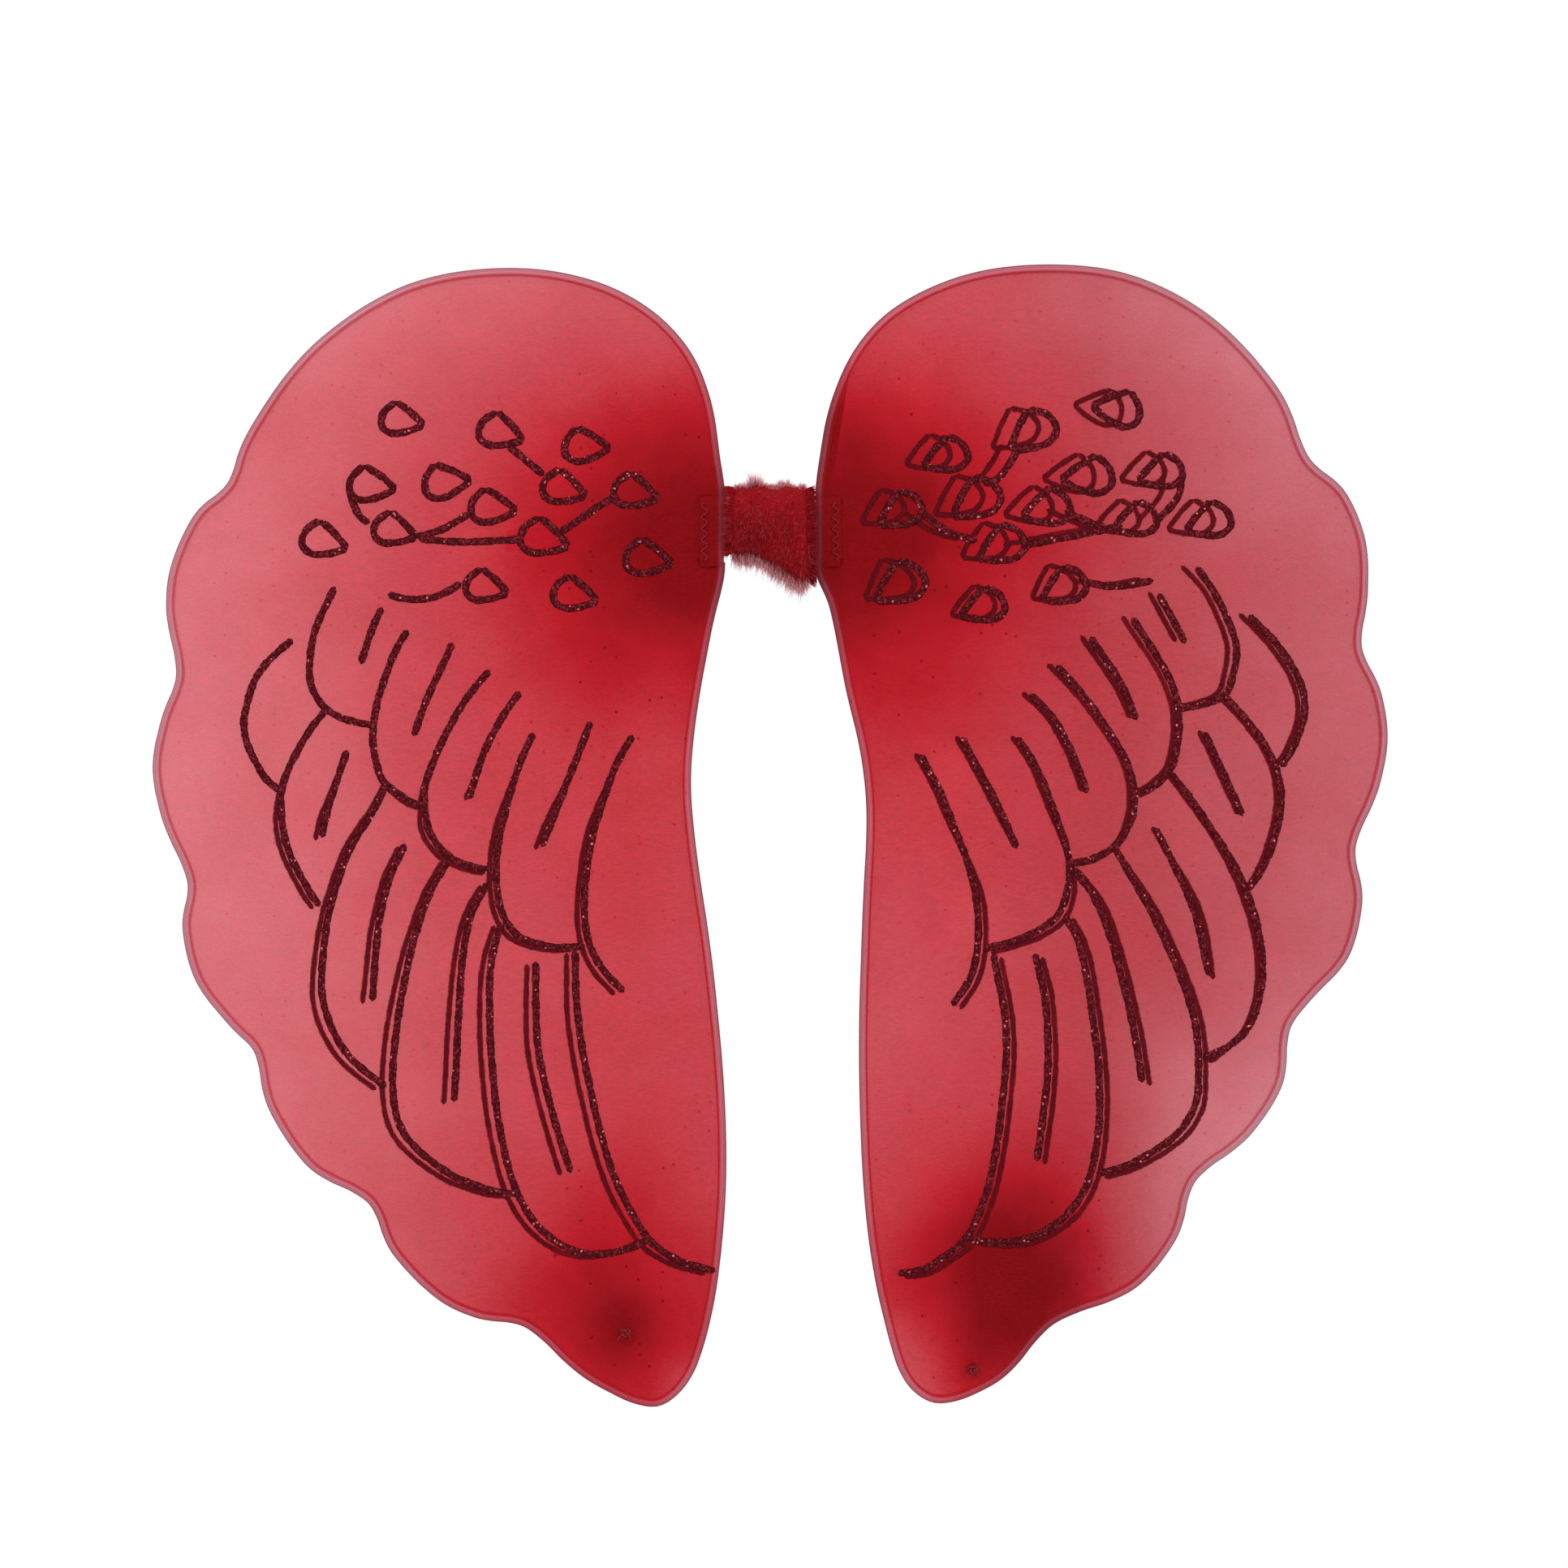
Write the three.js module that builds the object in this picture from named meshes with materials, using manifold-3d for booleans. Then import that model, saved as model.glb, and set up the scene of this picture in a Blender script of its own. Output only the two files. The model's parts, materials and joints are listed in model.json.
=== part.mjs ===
// Fairy wings for a costume. Each wing is a closed loop of spring wire in a sleeve of stretched
// net. The straight root of each loop turns in the eyes of two short bridge wires, which are
// bound together under a fluffy wrap. A felt patch covers the wearer's side of the bridge and
// holds the sewn ends of two elastic arm straps.
// Millimetres, +Z up. The decorated front faces -Y, and the origin is the middle of the felt
// patch's back face, which lies between the wearer's shoulder blades.
import * as THREE from 'three';
import { mergeVertices } from 'three/addons/utils/BufferGeometryUtils.js';
import Module from 'manifold-3d';

// Overall sizes
const WING_WIDTH = 231;
const WING_HEIGHT = 461;
const ROOT_GAP = 36.4; // between the two covered wings at their roots
const ROOT_STRAIGHT = 32; // the straight run of each wing's edge at its root

// Stock that the wings are made of
const WIRE_DIAMETER = 2;
const BRIDGE_DIAMETER = 2;
const NET_WALL = 0.5;
const TAPE_WALL = 0.6;
const FELT_THICKNESS = 2;
const STRAP_WIDTH = 8;
const STRAP_THICKNESS = 1;
const THREAD_DIAMETER = 0.7;

// Clearances
const CLEAR = 0.3; // between pieces that touch
const SLEEVE_CLEAR = 0.4; // round the wire inside its sleeve
const SWING_CLEAR = 0.6; // round the eyes that a wing turns in

// Bridge
const BRIDGE_SPACING = 13; // between the two bridge wires
const EYE_TURNS = 1.5;
const FERRULE_LENGTH = 7;
const FERRULE_WALL = 0.7;
const BINDING_MARGIN = 3; // bare bridge wire between the binding and the end of the wrap

// Fluffy wrap: it is fuller at one end and hangs a little lower there
const WRAP_RADIUS_LEFT = 16.5;
const WRAP_RADIUS_RIGHT = 24.5;
const WRAP_RISE_LEFT = 4.5;
const WRAP_RISE_RIGHT = -4.5;
const WRAP_FLATNESS = 0.85; // its depth as a share of its height

// Felt patch and arm straps
const PATCH_MARGIN = 2; // between the patch's side and the end of the wrap
const PATCH_HEIGHT = 20;
const PATCH_CORNER = 5;
const TAB_LENGTH = 9;
const LOOP_LENGTH = 120;
const LOOP_WIDTH = 36;
const LOOP_ANGLE = THREE.MathUtils.degToRad(42); // from the wings' plane, towards the wearer
const STRAP_HINGE_GAP = 0.8; // from the patch's side to the line that a strap swings about
const STRAP_START = 0.9; // from that line to the strap's ends
const STRAND_SPACING = 1.3; // between the middles of the strap's two ends

// Stitches
const STITCH_WAVE = 1.4; // half the width of the wavy stitch that closes a sleeve's mouth
const STITCH_TURNS = 5;
const KNOT_RADII = [2.6, 0.9, 2.1];

// Fineness
const SPAN_STEPS = 3; // steps between two points of an outline
const WIRE_SIDES = 6;
const EYE_STEPS = 18;
const LOOP_STEPS = 48;
const RIM_FLAT = 0.4; // the flat band round a sleeve's rounded rim

// Each wing's outline from the top of its root, over the crown, down the six scallops to the
// toe and back up the inner edge: percent of the wing's width and height, from the root.
const LEFT_OUTLINE = [
  [0.8, 6.4], [2.4, 11.4], [5.8, 15.6], [12.3, 19.2], [22.4, 21.9], [37.3, 23.1],
  [55.7, 21.6], [72.7, 16.0], [84.0, 8.1],
  [87.0, 4.2], [92.4, 1.7], [96.9, -3.2], [97.6, -7.1],
  [95.9, -12.6], [98.3, -16.1], [100.0, -20.6], [98.2, -25.4],
  [93.9, -30.8], [94.8, -34.4], [92.5, -39.3], [86.1, -43.5],
  [82.3, -45.5], [80.0, -50.2], [72.4, -55.8],
  [62.3, -58.8], [58.5, -62.9], [49.9, -67.3], [42.9, -68.9],
  [35.1, -69.6], [24.5, -74.1], [12.3, -76.6], [6.8, -74.7],
  [2.8, -69.6], [0.1, -60.0], [-0.1, -50.8], [2.1, -38.0], [5.1, -27.3],
  [5.9, -22.0], [5.1, -16.7], [2.1, -8.2],
];
const RIGHT_OUTLINE = [
  [0.7, 6.4], [2.5, 11.0], [6.8, 15.9], [13.5, 19.5], [26.2, 22.5], [41.6, 23.4],
  [55.7, 22.4], [69.8, 18.6], [81.7, 11.9],
  [86.4, 6.4], [92.3, 3.7], [96.1, -0.7], [96.5, -5.7],
  [95.5, -10.1], [98.7, -13.8], [100.0, -18.1], [98.3, -22.7],
  [94.4, -27.7], [95.6, -32.0], [93.1, -37.3], [86.6, -41.0],
  [83.0, -43.5], [81.7, -48.3], [75.5, -53.1],
  [66.4, -56.9], [63.4, -61.6], [55.7, -66.3],
  [41.6, -69.4], [32.5, -74.2], [21.4, -76.3], [16.0, -74.6],
  [12.1, -69.2], [9.0, -60.7], [7.6, -46.5], [8.2, -33.7], [8.9, -24.5],
  [7.9, -19.5], [5.3, -13.8], [2.3, -6.4],
];
const LEFT_TOE_KNOT = [17.4, -70.0];
const RIGHT_TOE_KNOT = [27.5, -73.2];

// Sizes that follow from the ones above
const WIRE_RADIUS = WIRE_DIAMETER / 2;
const BRIDGE_RADIUS = BRIDGE_DIAMETER / 2;
const SLEEVE_BORE = WIRE_RADIUS + SLEEVE_CLEAR;
const SLEEVE_RADIUS = SLEEVE_BORE + NET_WALL;
const AXIS_X = ROOT_GAP / 2 + SLEEVE_RADIUS; // the line that each wing folds about
const EYE_RADIUS = WIRE_RADIUS + CLEAR + BRIDGE_RADIUS;
const EYE_OUTSIDE = EYE_RADIUS + BRIDGE_RADIUS;
const EYE_PITCH = BRIDGE_DIAMETER + CLEAR;
const EYE_TOP = BRIDGE_SPACING / 2 + EYE_TURNS * EYE_PITCH + BRIDGE_RADIUS;
const MOUTH_DEPTH = EYE_OUTSIDE + SWING_CLEAR;
const MOUTH_HEIGHT = 2 * (EYE_TOP + SWING_CLEAR);
const WRAP_HALF = AXIS_X - EYE_OUTSIDE - SWING_CLEAR;
const BINDING_RADIUS = BRIDGE_RADIUS + CLEAR + TAPE_WALL;
const TAB_THICKNESS = 2 * STRAP_THICKNESS;
const BINDING_BACK = EYE_RADIUS + BINDING_RADIUS;
const TAB_FRONT = BINDING_BACK + CLEAR;
const TAB_BACK = TAB_FRONT + TAB_THICKNESS;
const PATCH_FRONT = TAB_BACK + CLEAR;
const PATCH_BACK = PATCH_FRONT + FELT_THICKNESS;
const PATCH_HALF = WRAP_HALF - PATCH_MARGIN;
const STRAP_HINGE_X = PATCH_HALF + STRAP_HINGE_GAP;

const wasm = await Module();
wasm.setup();

const FINISHES = {
  wire: { color: 0xd8d2d4, roughness: 0.35, metalness: 0.8 },
  net: { color: 0xc8324a, roughness: 0.75, metalness: 0 },
  fluff: { color: 0xd05060, roughness: 0.95, metalness: 0 },
  felt: { color: 0x9c1f2c, roughness: 0.95, metalness: 0 },
  tape: { color: 0x8a1822, roughness: 0.8, metalness: 0 },
  elastic: { color: 0xf0ecea, roughness: 0.85, metalness: 0 },
  thread: { color: 0x7c121c, roughness: 0.7, metalness: 0 },
};

function piece(name, geometry, finish) {
  const mesh = new THREE.Mesh(geometry, new THREE.MeshStandardMaterial(FINISHES[finish]));
  mesh.name = name;
  return mesh;
}

// A path with one step at each of its points, so a tube along it has a ring at each one.
class Polyline extends THREE.Curve {
  constructor(points) {
    super();
    this.points = points;
  }

  getUtoTmapping(u) {
    return u;
  }

  getPoint(t, target = new THREE.Vector3()) {
    const place = t * (this.points.length - 1);
    const i = Math.min(Math.floor(place), this.points.length - 2);
    return target.lerpVectors(this.points[i], this.points[i + 1], place - i);
  }
}

function sweep(section, points) {
  return new THREE.ExtrudeGeometry(section, {
    steps: points.length - 1,
    extrudePath: new Polyline(points),
  });
}

function tube(points, radius, sides = WIRE_SIDES) {
  const corners = [];
  for (let i = 0; i < sides; i += 1) {
    const turn = (2 * Math.PI * i) / sides;
    corners.push(new THREE.Vector2(radius * Math.cos(turn), radius * Math.sin(turn)));
  }
  return sweep(new THREE.Shape(corners), points);
}

function rectangle(width, height) {
  const right = width / 2;
  const top = height / 2;
  return new THREE.Shape([
    new THREE.Vector2(-right, -top),
    new THREE.Vector2(right, -top),
    new THREE.Vector2(right, top),
    new THREE.Vector2(-right, top),
  ]);
}

// Booleans work on closed meshes whose shared corners are merged.
function toSolid(geometry) {
  const bare = geometry.clone();
  bare.deleteAttribute('normal');
  bare.deleteAttribute('uv');
  const merged = mergeVertices(bare);
  return new wasm.Manifold(new wasm.Mesh({
    numProp: 3,
    vertProperties: new Float32Array(merged.attributes.position.array),
    triVerts: new Uint32Array(merged.index.array),
  }));
}

function cut(geometry, ...tools) {
  const left = tools.reduce((body, tool) => body.subtract(toSolid(tool)), toSolid(geometry));
  const { vertProperties, triVerts } = left.getMesh();
  const result = new THREE.BufferGeometry();
  result.setAttribute('position', new THREE.BufferAttribute(vertProperties, 3));
  result.setIndex(new THREE.BufferAttribute(triVerts, 1));
  result.computeVertexNormals();
  return result;
}

// A box given by its lowest and highest corners.
function block(low, high) {
  const size = high.map((value, i) => value - low[i]);
  const middle = high.map((value, i) => (value + low[i]) / 2);
  return new THREE.BoxGeometry(...size).translate(...middle);
}

// --- Wings. Each is made about its own folding line, with side -1 for left and 1 for right ---

// A smooth closed curve through the outline, from the top of the straight root round to its
// bottom. The root itself stays straight.
function edgeOfWing(outline) {
  const knots = [
    new THREE.Vector3(0, ROOT_STRAIGHT / 2, 0),
    ...outline.map(([u, v]) => new THREE.Vector3((u / 100) * WING_WIDTH, (v / 100) * WING_HEIGHT, 0)),
    new THREE.Vector3(0, -ROOT_STRAIGHT / 2, 0),
  ];
  const curve = new THREE.CatmullRomCurve3(knots, true, 'centripetal');
  const steps = (knots.length - 1) * SPAN_STEPS;
  const points = [];
  for (let i = 0; i <= steps; i += 1) {
    points.push(curve.getPoint(i / SPAN_STEPS / knots.length));
  }
  return points;
}

// The middle of the wire runs one sleeve radius inside the covered edge.
function wireLine(outline, side) {
  const edge = edgeOfWing(outline);
  const count = edge.length;
  return edge.map((point, i) => {
    const along = edge[(i + 1) % count].clone().sub(edge[(i + count - 1) % count]).normalize();
    const outward = point.x + (along.y - 1) * SLEEVE_RADIUS;
    return new THREE.Vector2(side * outward, point.y - along.x * SLEEVE_RADIUS);
  });
}

function wingWire(line) {
  const butt = CLEAR / 2;
  const run = line.map((point) => new THREE.Vector3(point.x, 0, point.y));
  return tube([new THREE.Vector3(0, 0, butt), ...run, new THREE.Vector3(0, 0, -butt)], WIRE_RADIUS);
}

// The crimped tube that joins the wire's two ends in the middle of the root.
function ferrule() {
  const bore = WIRE_RADIUS + CLEAR;
  const outside = bore + FERRULE_WALL;
  const half = FERRULE_LENGTH / 2;
  const profile = [
    new THREE.Vector2(bore, -half),
    new THREE.Vector2(outside, -half),
    new THREE.Vector2(outside, half),
    new THREE.Vector2(bore, half),
    new THREE.Vector2(bore, -half),
  ];
  return new THREE.LatheGeometry(profile, 16).rotateX(Math.PI / 2);
}

// A flat bag round the wire line: two flat faces joined by a rounded rim.
function pillow(line, radius) {
  const geometry = new THREE.ExtrudeGeometry(new THREE.Shape(line), {
    steps: 1,
    depth: RIM_FLAT,
    bevelSize: radius,
    bevelThickness: radius - RIM_FLAT / 2,
    bevelSegments: 2,
  });
  return geometry.translate(0, 0, -RIM_FLAT / 2).rotateX(Math.PI / 2);
}

// The sleeve is hollow, and its mouth at the root leaves the wire bare for the eyes.
function wingSleeve(line, side) {
  const reach = [-2 * SLEEVE_RADIUS * side, MOUTH_DEPTH * side];
  const mouth = block(
    [Math.min(...reach), -2 * SLEEVE_RADIUS, -MOUTH_HEIGHT / 2],
    [Math.max(...reach), 2 * SLEEVE_RADIUS, MOUTH_HEIGHT / 2],
  );
  return cut(pillow(line, SLEEVE_RADIUS), pillow(line, SLEEVE_BORE), mouth);
}

function mouthStitch(side) {
  const depth = SLEEVE_RADIUS + CLEAR + THREAD_DIAMETER / 2;
  const middle = MOUTH_DEPTH + CLEAR + STITCH_WAVE + THREAD_DIAMETER;
  const steps = STITCH_TURNS * 6;
  const points = [];
  for (let i = 0; i <= steps; i += 1) {
    const wave = STITCH_WAVE * Math.sin((2 * Math.PI * STITCH_TURNS * i) / steps);
    points.push(new THREE.Vector3(side * (middle + wave), -depth, (i / steps - 0.5) * MOUTH_HEIGHT));
  }
  return tube(points, THREAD_DIAMETER / 2, 5);
}

function toeKnot([u, v], side) {
  const knot = new THREE.SphereGeometry(1, 10, 7).scale(...KNOT_RADII);
  const outward = (u / 100) * WING_WIDTH - SLEEVE_RADIUS;
  const depth = SLEEVE_RADIUS + CLEAR + KNOT_RADII[1];
  return knot.translate(side * outward, -depth, (v / 100) * WING_HEIGHT);
}

function wing(name, side, outline, knotPlace) {
  const line = wireLine(outline, side);
  const group = new THREE.Group();
  group.position.x = side * AXIS_X;
  group.add(
    piece(`${name}_wing_wire`, wingWire(line), 'wire'),
    piece(`${name}_wire_ferrule`, ferrule(), 'wire'),
    piece(`${name}_wing_sleeve`, wingSleeve(line, side), 'net'),
    piece(`${name}_mouth_stitch`, mouthStitch(side), 'thread'),
    piece(`${name}_toe_knot`, toeKnot(knotPlace, side), 'thread'),
  );
  return group;
}

// --- Bridge ---

// Half of a bridge wire: from where it leaves the eye's coil to the coil's free end. The coil
// winds away from the middle of the bridge, and level is 1 for the upper wire, -1 for the lower.
function eye(side, level) {
  const points = [];
  for (let i = 0; i <= EYE_STEPS; i += 1) {
    const turns = (EYE_TURNS * i) / EYE_STEPS;
    const angle = Math.PI / 2 - 2 * Math.PI * turns;
    points.push(new THREE.Vector3(
      side * (AXIS_X + EYE_RADIUS * Math.cos(angle)),
      EYE_RADIUS * Math.sin(angle),
      level * (BRIDGE_SPACING / 2 + EYE_PITCH * turns),
    ));
  }
  return points;
}

function bridgeWire(level) {
  return tube([...eye(-1, level).reverse(), ...eye(1, level)], BRIDGE_RADIUS);
}

// Tape wound round both bridge wires.
function binding() {
  const length = 2 * (WRAP_HALF - BINDING_MARGIN);
  const middle = BRIDGE_SPACING / 2;
  const outside = new THREE.Shape();
  outside.absarc(middle, 0, BINDING_RADIUS, -Math.PI / 2, Math.PI / 2);
  outside.absarc(-middle, 0, BINDING_RADIUS, Math.PI / 2, (3 * Math.PI) / 2);
  for (const level of [-1, 1]) {
    const hole = new THREE.Path();
    hole.absarc(level * middle, 0, BRIDGE_RADIUS + CLEAR, 0, 2 * Math.PI);
    outside.holes.push(hole);
  }
  const options = { depth: length, bevelEnabled: false, curveSegments: 8 };
  const geometry = new THREE.ExtrudeGeometry(outside, options);
  return geometry.translate(0, 0, -length / 2).rotateY(Math.PI / 2).translate(0, EYE_RADIUS, 0);
}

// The wrap's plumes as one soft barrel, flat at the back where the patch covers it, with a
// channel for the bound bridge.
function fluffyWrap() {
  const profile = [new THREE.Vector2(0, -WRAP_HALF)];
  for (let i = 0; i <= 6; i += 1) {
    const along = i / 6;
    const radius = THREE.MathUtils.lerp(WRAP_RADIUS_LEFT, WRAP_RADIUS_RIGHT, along);
    const rounding = 1 - 0.15 * (2 * along - 1) ** 4;
    profile.push(new THREE.Vector2(radius * rounding, (2 * along - 1) * WRAP_HALF));
  }
  profile.push(new THREE.Vector2(0, WRAP_HALF));
  const slope = (WRAP_RISE_RIGHT - WRAP_RISE_LEFT) / (2 * WRAP_HALF);
  const lean = new THREE.Matrix4().makeShear(0, slope, 0, 0, 0, 0);
  const barrel = new THREE.LatheGeometry(profile, 20)
    .rotateZ(-Math.PI / 2)
    .scale(1, WRAP_FLATNESS, 1)
    .applyMatrix4(lean)
    .translate(0, EYE_RADIUS, (WRAP_RISE_LEFT + WRAP_RISE_RIGHT) / 2);
  const past = 2 * WRAP_RADIUS_RIGHT;
  const channel = BRIDGE_SPACING / 2 + BINDING_RADIUS + CLEAR;
  return cut(
    barrel,
    block([-past, TAB_BACK, -past], [past, past, past]),
    block([-past, EYE_RADIUS - BINDING_RADIUS - CLEAR, -channel], [past, past, channel]),
  );
}

function backPatch() {
  const right = PATCH_HALF - PATCH_CORNER;
  const top = PATCH_HEIGHT / 2 - PATCH_CORNER;
  const shape = new THREE.Shape();
  shape.absarc(right, top, PATCH_CORNER, 0, Math.PI / 2);
  shape.absarc(-right, top, PATCH_CORNER, Math.PI / 2, Math.PI);
  shape.absarc(-right, -top, PATCH_CORNER, Math.PI, (3 * Math.PI) / 2);
  shape.absarc(right, -top, PATCH_CORNER, (3 * Math.PI) / 2, 2 * Math.PI);
  const options = { depth: FELT_THICKNESS, bevelEnabled: false, curveSegments: 6 };
  const geometry = new THREE.ExtrudeGeometry(shape, options);
  return geometry.rotateX(Math.PI / 2).translate(0, PATCH_BACK, 0);
}

// The sewn end of an arm strap, both strands together, between the binding and the patch.
function strapTab(side) {
  const middle = side * (PATCH_HALF - TAB_LENGTH / 2);
  const box = new THREE.BoxGeometry(TAB_LENGTH, TAB_THICKNESS, STRAP_WIDTH);
  return box.translate(middle, (TAB_FRONT + TAB_BACK) / 2, 0);
}

// An arm strap's teardrop loop: it runs out to LOOP_LENGTH and back while its half width
// follows sin t times sin t/2. It is made about its swinging line, pointing out along X.
function armStrap(side) {
  const points = [];
  for (let i = 0; i <= LOOP_STEPS; i += 1) {
    const t = (2 * Math.PI * i) / LOOP_STEPS;
    const out = STRAP_START + (LOOP_LENGTH * (1 - Math.cos(t))) / 2;
    const across = LOOP_WIDTH * Math.sin(t) * Math.sin(t / 2)
      + (STRAND_SPACING / 2) * Math.cos(t / 2);
    points.push(new THREE.Vector3(side * out, across, 0));
  }
  return sweep(rectangle(STRAP_WIDTH, STRAP_THICKNESS), points);
}

function strap(name, side) {
  const group = new THREE.Group();
  group.position.set(side * STRAP_HINGE_X, (TAB_FRONT + TAB_BACK) / 2, 0);
  group.rotation.z = side * LOOP_ANGLE;
  group.add(piece(`${name}_arm_strap`, armStrap(side), 'elastic'));
  return group;
}

// --- Assembly: everything is placed from the wings' plane, then moved so that the back of
// the patch is at the origin ---

const group = new THREE.Group();
group.position.y = -PATCH_BACK;
group.add(
  wing('left', -1, LEFT_OUTLINE, LEFT_TOE_KNOT),
  wing('right', 1, RIGHT_OUTLINE, RIGHT_TOE_KNOT),
  piece('upper_bridge_wire', bridgeWire(1), 'wire'),
  piece('lower_bridge_wire', bridgeWire(-1), 'wire'),
  piece('bridge_binding', binding(), 'tape'),
  piece('fluffy_wrap', fluffyWrap(), 'fluff'),
  piece('back_patch', backPatch(), 'felt'),
  piece('left_strap_tab', strapTab(-1), 'elastic'),
  piece('right_strap_tab', strapTab(1), 'elastic'),
  strap('left', -1),
  strap('right', 1),
);

export default group;
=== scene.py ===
"""Fairy wings for a costume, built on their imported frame, in metres."""

import json
import math

import bpy
import numpy as np
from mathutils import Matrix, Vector


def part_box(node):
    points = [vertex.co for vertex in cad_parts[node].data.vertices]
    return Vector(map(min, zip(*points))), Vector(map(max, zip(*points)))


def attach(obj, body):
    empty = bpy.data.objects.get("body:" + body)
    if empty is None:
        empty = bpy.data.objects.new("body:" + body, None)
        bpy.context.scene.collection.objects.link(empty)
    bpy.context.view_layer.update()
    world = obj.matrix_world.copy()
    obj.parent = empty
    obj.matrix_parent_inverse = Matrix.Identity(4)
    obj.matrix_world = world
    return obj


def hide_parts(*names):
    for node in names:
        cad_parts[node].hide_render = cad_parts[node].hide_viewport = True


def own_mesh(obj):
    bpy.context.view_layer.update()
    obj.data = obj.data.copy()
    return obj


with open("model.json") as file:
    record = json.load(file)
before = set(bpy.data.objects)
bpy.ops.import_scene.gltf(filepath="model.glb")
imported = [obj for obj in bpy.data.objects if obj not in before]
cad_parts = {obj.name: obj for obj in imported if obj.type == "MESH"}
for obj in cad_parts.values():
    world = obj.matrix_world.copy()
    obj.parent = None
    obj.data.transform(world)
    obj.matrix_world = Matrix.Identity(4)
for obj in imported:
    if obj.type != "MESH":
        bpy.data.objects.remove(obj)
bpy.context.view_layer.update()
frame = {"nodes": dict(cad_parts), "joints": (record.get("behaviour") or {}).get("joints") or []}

bl_info = {
    "name": "Fairy Wings",
    "version": (1, 0, 0),
    "blender": (4, 5, 0),
    "location": "View3D > Sidebar > Fairy Wings",
    "description": "Builds a pair of stretched net fairy wings with a fluffy bridge and arm straps",
    "category": "Object",
}

MM = 0.001
SIDES = {"left": -1.0, "right": 1.0}


def box_of(name):
    """The low and high corners of one of the frame's pieces."""
    return [np.array(corner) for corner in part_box(name)]


# Places that the pieces share with the frame
PATCH_LOW, PATCH_HIGH = box_of("back_patch")
WRAP_HIGH = box_of("fluffy_wrap")[1]
BINDING_LOW, BINDING_HIGH = box_of("bridge_binding")
FERRULE_LOW, FERRULE_HIGH = box_of("left_wire_ferrule")
SLEEVE_LOW, SLEEVE_HIGH = box_of("left_wing_sleeve")
WING_PLANE = 0.5 * (SLEEVE_LOW[1] + SLEEVE_HIGH[1])
AXIS_X = -0.5 * (FERRULE_LOW[0] + FERRULE_HIGH[0])
MOUTH_HALF = box_of("left_mouth_stitch")[1][2]
MOUTH_DEPTH = 3.9 * MM
EYE_RADIUS = 2.3 * MM
BRIDGE_LEVEL = 6.5 * MM
EYE_PITCH = 2.3 * MM
EYE_TURNS = 1.5
NET_MIDDLE = np.array([0.115, -0.105])  # a point well inside the right wing, as x and z
RIM_POINTS = 660
TAPE_LAP = 5.5 * MM
PATCH_CORNER = 5 * MM
FLOOR_LEVEL = -0.60

# The glitter drawing is set out in percent of a wing's width, outward from the edge of its
# root, and of its height, upward from the middle of its root.
ROOT_EDGE = 18.2 * MM
DRAWING_WIDTH = 231 * MM
DRAWING_HEIGHT = 461 * MM

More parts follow.
